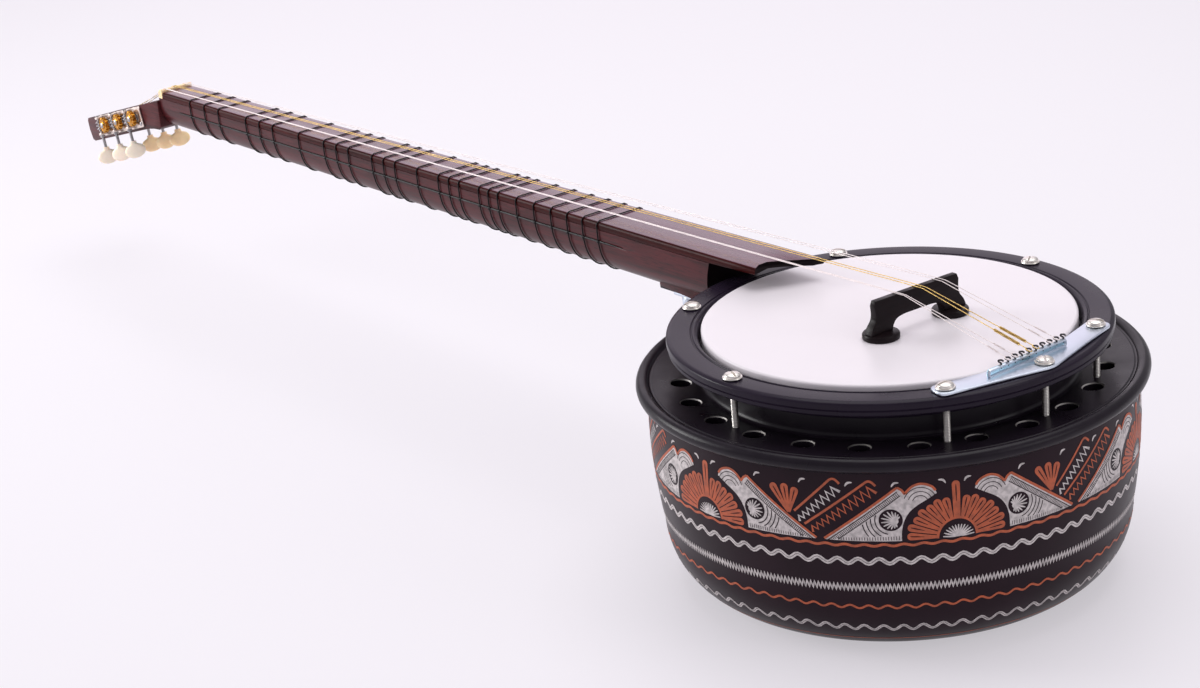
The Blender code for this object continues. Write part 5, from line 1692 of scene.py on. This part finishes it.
def make_stage():
    """Pale floor, five soft lamps and the camera of the photograph."""
    scene = bpy.context.scene
    material, tree, shader, _ = start_material("pale_studio_floor")
    wire_shader(tree, shader, {}, {
        "Base Color": colour_of("floor"), "Roughness": 0.45, "Specular IOR Level": 0.3})
    # Seen directly, in a reflection or through glass, the floor is part its own plain white
    path = add_node(tree, "ShaderNodeLightPath")
    seen = path.outputs["Is Camera Ray"]
    for kind in ("Is Glossy Ray", "Is Transmission Ray"):
        either = add_node(tree, "ShaderNodeMath", {"operation": "MAXIMUM"}, {0: seen, 1: path.outputs[kind]})
        seen = either.outputs[0]
    share = add_node(tree, "ShaderNodeMath", {"operation": "MULTIPLY"}, {0: seen, 1: 0.55})
    glow = add_node(tree, "ShaderNodeEmission", inputs={"Color": colour_of("floor"), "Strength": 1.0})
    both = add_node(tree, "ShaderNodeMixShader", inputs={
        0: share.outputs[0], 1: shader.outputs[0], 2: glow.outputs[0]})
    tree.links.new(both.outputs[0], tree.nodes["Material Output"].inputs["Surface"])
    reach = (-FLOOR_HALF_WIDTH, FLOOR_HALF_WIDTH)
    corners = [(x, y, -BODY_HEIGHT - 0.3) for x, y in rectangle(*reach, *reach)]
    build("studio_floor", ((corners, [(0, 1, 2, 3)]), material))

    world = bpy.data.worlds.new("studio_air")
    scene.world = world
    world.use_nodes = True
    back = world.node_tree.nodes["Background"]
    back.inputs["Color"].default_value = opaque("#F4F1F8")
    back.inputs["Strength"].default_value = 0.5

    for name, spot, aim, size, power, tint in (
        ("overhead_softbox", (-0.25, 0.35, 1.9), (-0.2, 0.0, 0.1), 1.8, 18.5, (1.0, 1.0, 1.0)),
        ("left_softbox", (-2.1, -1.2, 0.9), (-0.5, 0.0, 0.1), 1.4, 22.0, (1.0, 1.0, 1.0)),
        ("head_softbox", (-1.35, -1.0, 0.5), (-0.85, 0.0, 0.1), 0.5, 5.0, (1.0, 1.0, 1.0)),
        ("right_softbox", (1.6, 0.6, 0.9), (0.0, 0.0, 0.1), 0.9, 4.0, (1.0, 1.0, 1.0)),
        ("backdrop_softbox", (-2.1, 1.5, 1.0), (-0.2, 0.0, 0.1), 2.2, 9.0, (1.0, 0.87, 0.99)),
    ):
        data = bpy.data.lights.new(name, "AREA")
        data.shape = "DISK"
        data.size = size
        data.energy = power
        data.color = tint
        lamp = add_object(name, data)
        lamp.location = spot
        lamp.rotation_euler = (Vector(aim) - Vector(spot)).to_track_quat("-Z", "Y").to_euler()
        lamp.visible_camera = False

    data = bpy.data.cameras.new("photo_camera")
    data.lens = CAMERA_LENS
    data.sensor_width = 36.0
    data.clip_end = 30.0
    camera = add_object("photo_camera", data)
    camera.matrix_world = Matrix(CAMERA_ROWS)
    scene.camera = camera
    scene.view_settings.view_transform = "Standard"


# Add-on


def length(name, description, default):
    """A length that the sidebar offers, in metres."""
    return bpy.props.FloatProperty(name=name, description=description, default=default, unit="LENGTH",
                                   subtype="DISTANCE", precision=5)


def colour(name, description, code):
    """A colour that the sidebar offers, from its hex value."""
    return bpy.props.FloatVectorProperty(name=name, description=description, default=linear(code), size=3,
                                         min=0.0, max=1.0, subtype="COLOR")


class CumbusSizes(bpy.types.PropertyGroup):
    """Sizes that a user may change"""

    ring_steps: bpy.props.IntProperty(name="Ring steps", description="Facets round the bowl and hoops",
                                      default=192, min=48, max=384)
    sound_holes: bpy.props.IntProperty(name="Sound holes", description="Holes in the flange round the head",
                                       default=24, min=6, max=48)
    sound_hole_radius: length("Sound hole radius", "Radius of each sound hole", 0.0056)
    fret_line: length("Fret line", "Thickness of the line that the frets are tied from", 0.0009)
    plain_string: length("Plain string", "Thickness of the outer strings", 0.00046)
    wound_string: length("Wound string", "Thickness of the middle strings", 0.00052)


class CumbusColours(bpy.types.PropertyGroup):
    """Colours that a user may change"""

    enamel: colour("Enamel", "Enamel of the bowl", "#24121C")
    casting: colour("Casting", "Enamel of the casting", "#1D161F")
    copper: colour("Copper", "Copper lines of the ornament", "#BE5B36")
    silver: colour("Silver", "Silver lines of the ornament", "#D8D0CE")
    film: colour("Film", "Drum head", "#ECE5EA")
    neck_wood: colour("Neck wood", "Neck and slotted head", "#44171A")
    board_wood: colour("Board wood", "Fingerboard", "#561C36")
    cream: colour("Cream", "Near buttons", "#FFEEDA")
    # Tan of the nut, yellowed with age, and of the far buttons, a painted glow
    aged_cream_and_glow: colour("Aged and glowing cream", "Nut and far buttons", "#FFDFB0")
    zinc: colour("Zinc", "Plated tailpiece and neck joint", "#D6DEEA")
    brass: colour("Brass", "Tuner gears", "#D99A3C")
    floor: colour("Floor", "Floor of the stage", "#F3EFF5")


def operator(name, label, words, steps):
    """An operator that runs the given makers and raises if one fails."""

    def execute(self, context):
        for step in steps:
            step()
        return {"FINISHED"}

    return type("CUMBUS_OT_" + name, (bpy.types.Operator,), {
        "__doc__": words, "bl_idname": "cumbus." + name, "bl_label": label, "execute": execute})


OPERATORS = [
    operator("stage", "Stage", "Add the floor, the lights and the camera", [make_stage]),
    operator("bowl", "Bowl", "Make the enamelled bowl and its ornament", [make_bowl, make_ornament]),
    operator("casting", "Top casting", "Make the pierced casting on the bowl", [make_top_casting]),
    operator("head", "Drum head", "Make the film head and its hoops", [make_head]),
    operator("screws", "Hoop screws", "Make the seven screws of the hoop", [make_screws]),
    operator("tailpiece", "Tailpiece", "Make the strip and hooks that hold the strings", [make_tailpiece]),
    operator("bridge", "Bridge", "Make the arched bridge", [make_bridge]),
    operator("neck", "Neck", "Make the neck, fingerboard and nut", [make_neck, make_fingerboard, make_nut]),
    operator("frets", "Frets", "Tie the frets round the neck", [make_frets]),
    operator("headstock", "Slotted head", "Make the slotted head", [make_headstock]),
    operator("machines", "Tuning machines", "Make the plates, gears, worms and buttons",
             [make_tuner_plates, make_machines]),
    operator("joint", "Neck joint", "Make the arm, hinge plate, pivot and tilt knob", [make_joint]),
    operator("strings", "Strings", "String the instrument", [make_strings]),
]


class CUMBUS_PT_panel(bpy.types.Panel):
    """Sizes, colours and the steps of the build"""

    bl_idname = "CUMBUS_PT_panel"
    bl_label = "Cumbus"
    bl_space_type = "VIEW_3D"
    bl_region_type = "UI"
    bl_category = "Cumbus"

    def draw(self, context):
        for group in (context.scene.cumbus_sizes, context.scene.cumbus_colours):
            box = self.layout.box()
            for name in group.__annotations__:
                box.prop(group, name)
        for step in OPERATORS:
            self.layout.operator(step.bl_idname)


CLASSES = [CumbusSizes, CumbusColours, *OPERATORS, CUMBUS_PT_panel]


def register():
    """Make the classes and the values of the scene known."""
    for item in CLASSES:
        bpy.utils.register_class(item)
    bpy.types.Scene.cumbus_sizes = bpy.props.PointerProperty(type=CumbusSizes)
    bpy.types.Scene.cumbus_colours = bpy.props.PointerProperty(type=CumbusColours)


def unregister():
    """Take the classes and the values back."""
    del bpy.types.Scene.cumbus_sizes
    del bpy.types.Scene.cumbus_colours
    for item in reversed(CLASSES):
        bpy.utils.unregister_class(item)


def main():
    """Run every step and note the box of the solids and of the finished model."""
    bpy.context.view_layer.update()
    register()
    for step in OPERATORS:
        getattr(bpy.ops.cumbus, step.bl_idname.split(".")[1])()


if __name__ == "__main__":
    main()
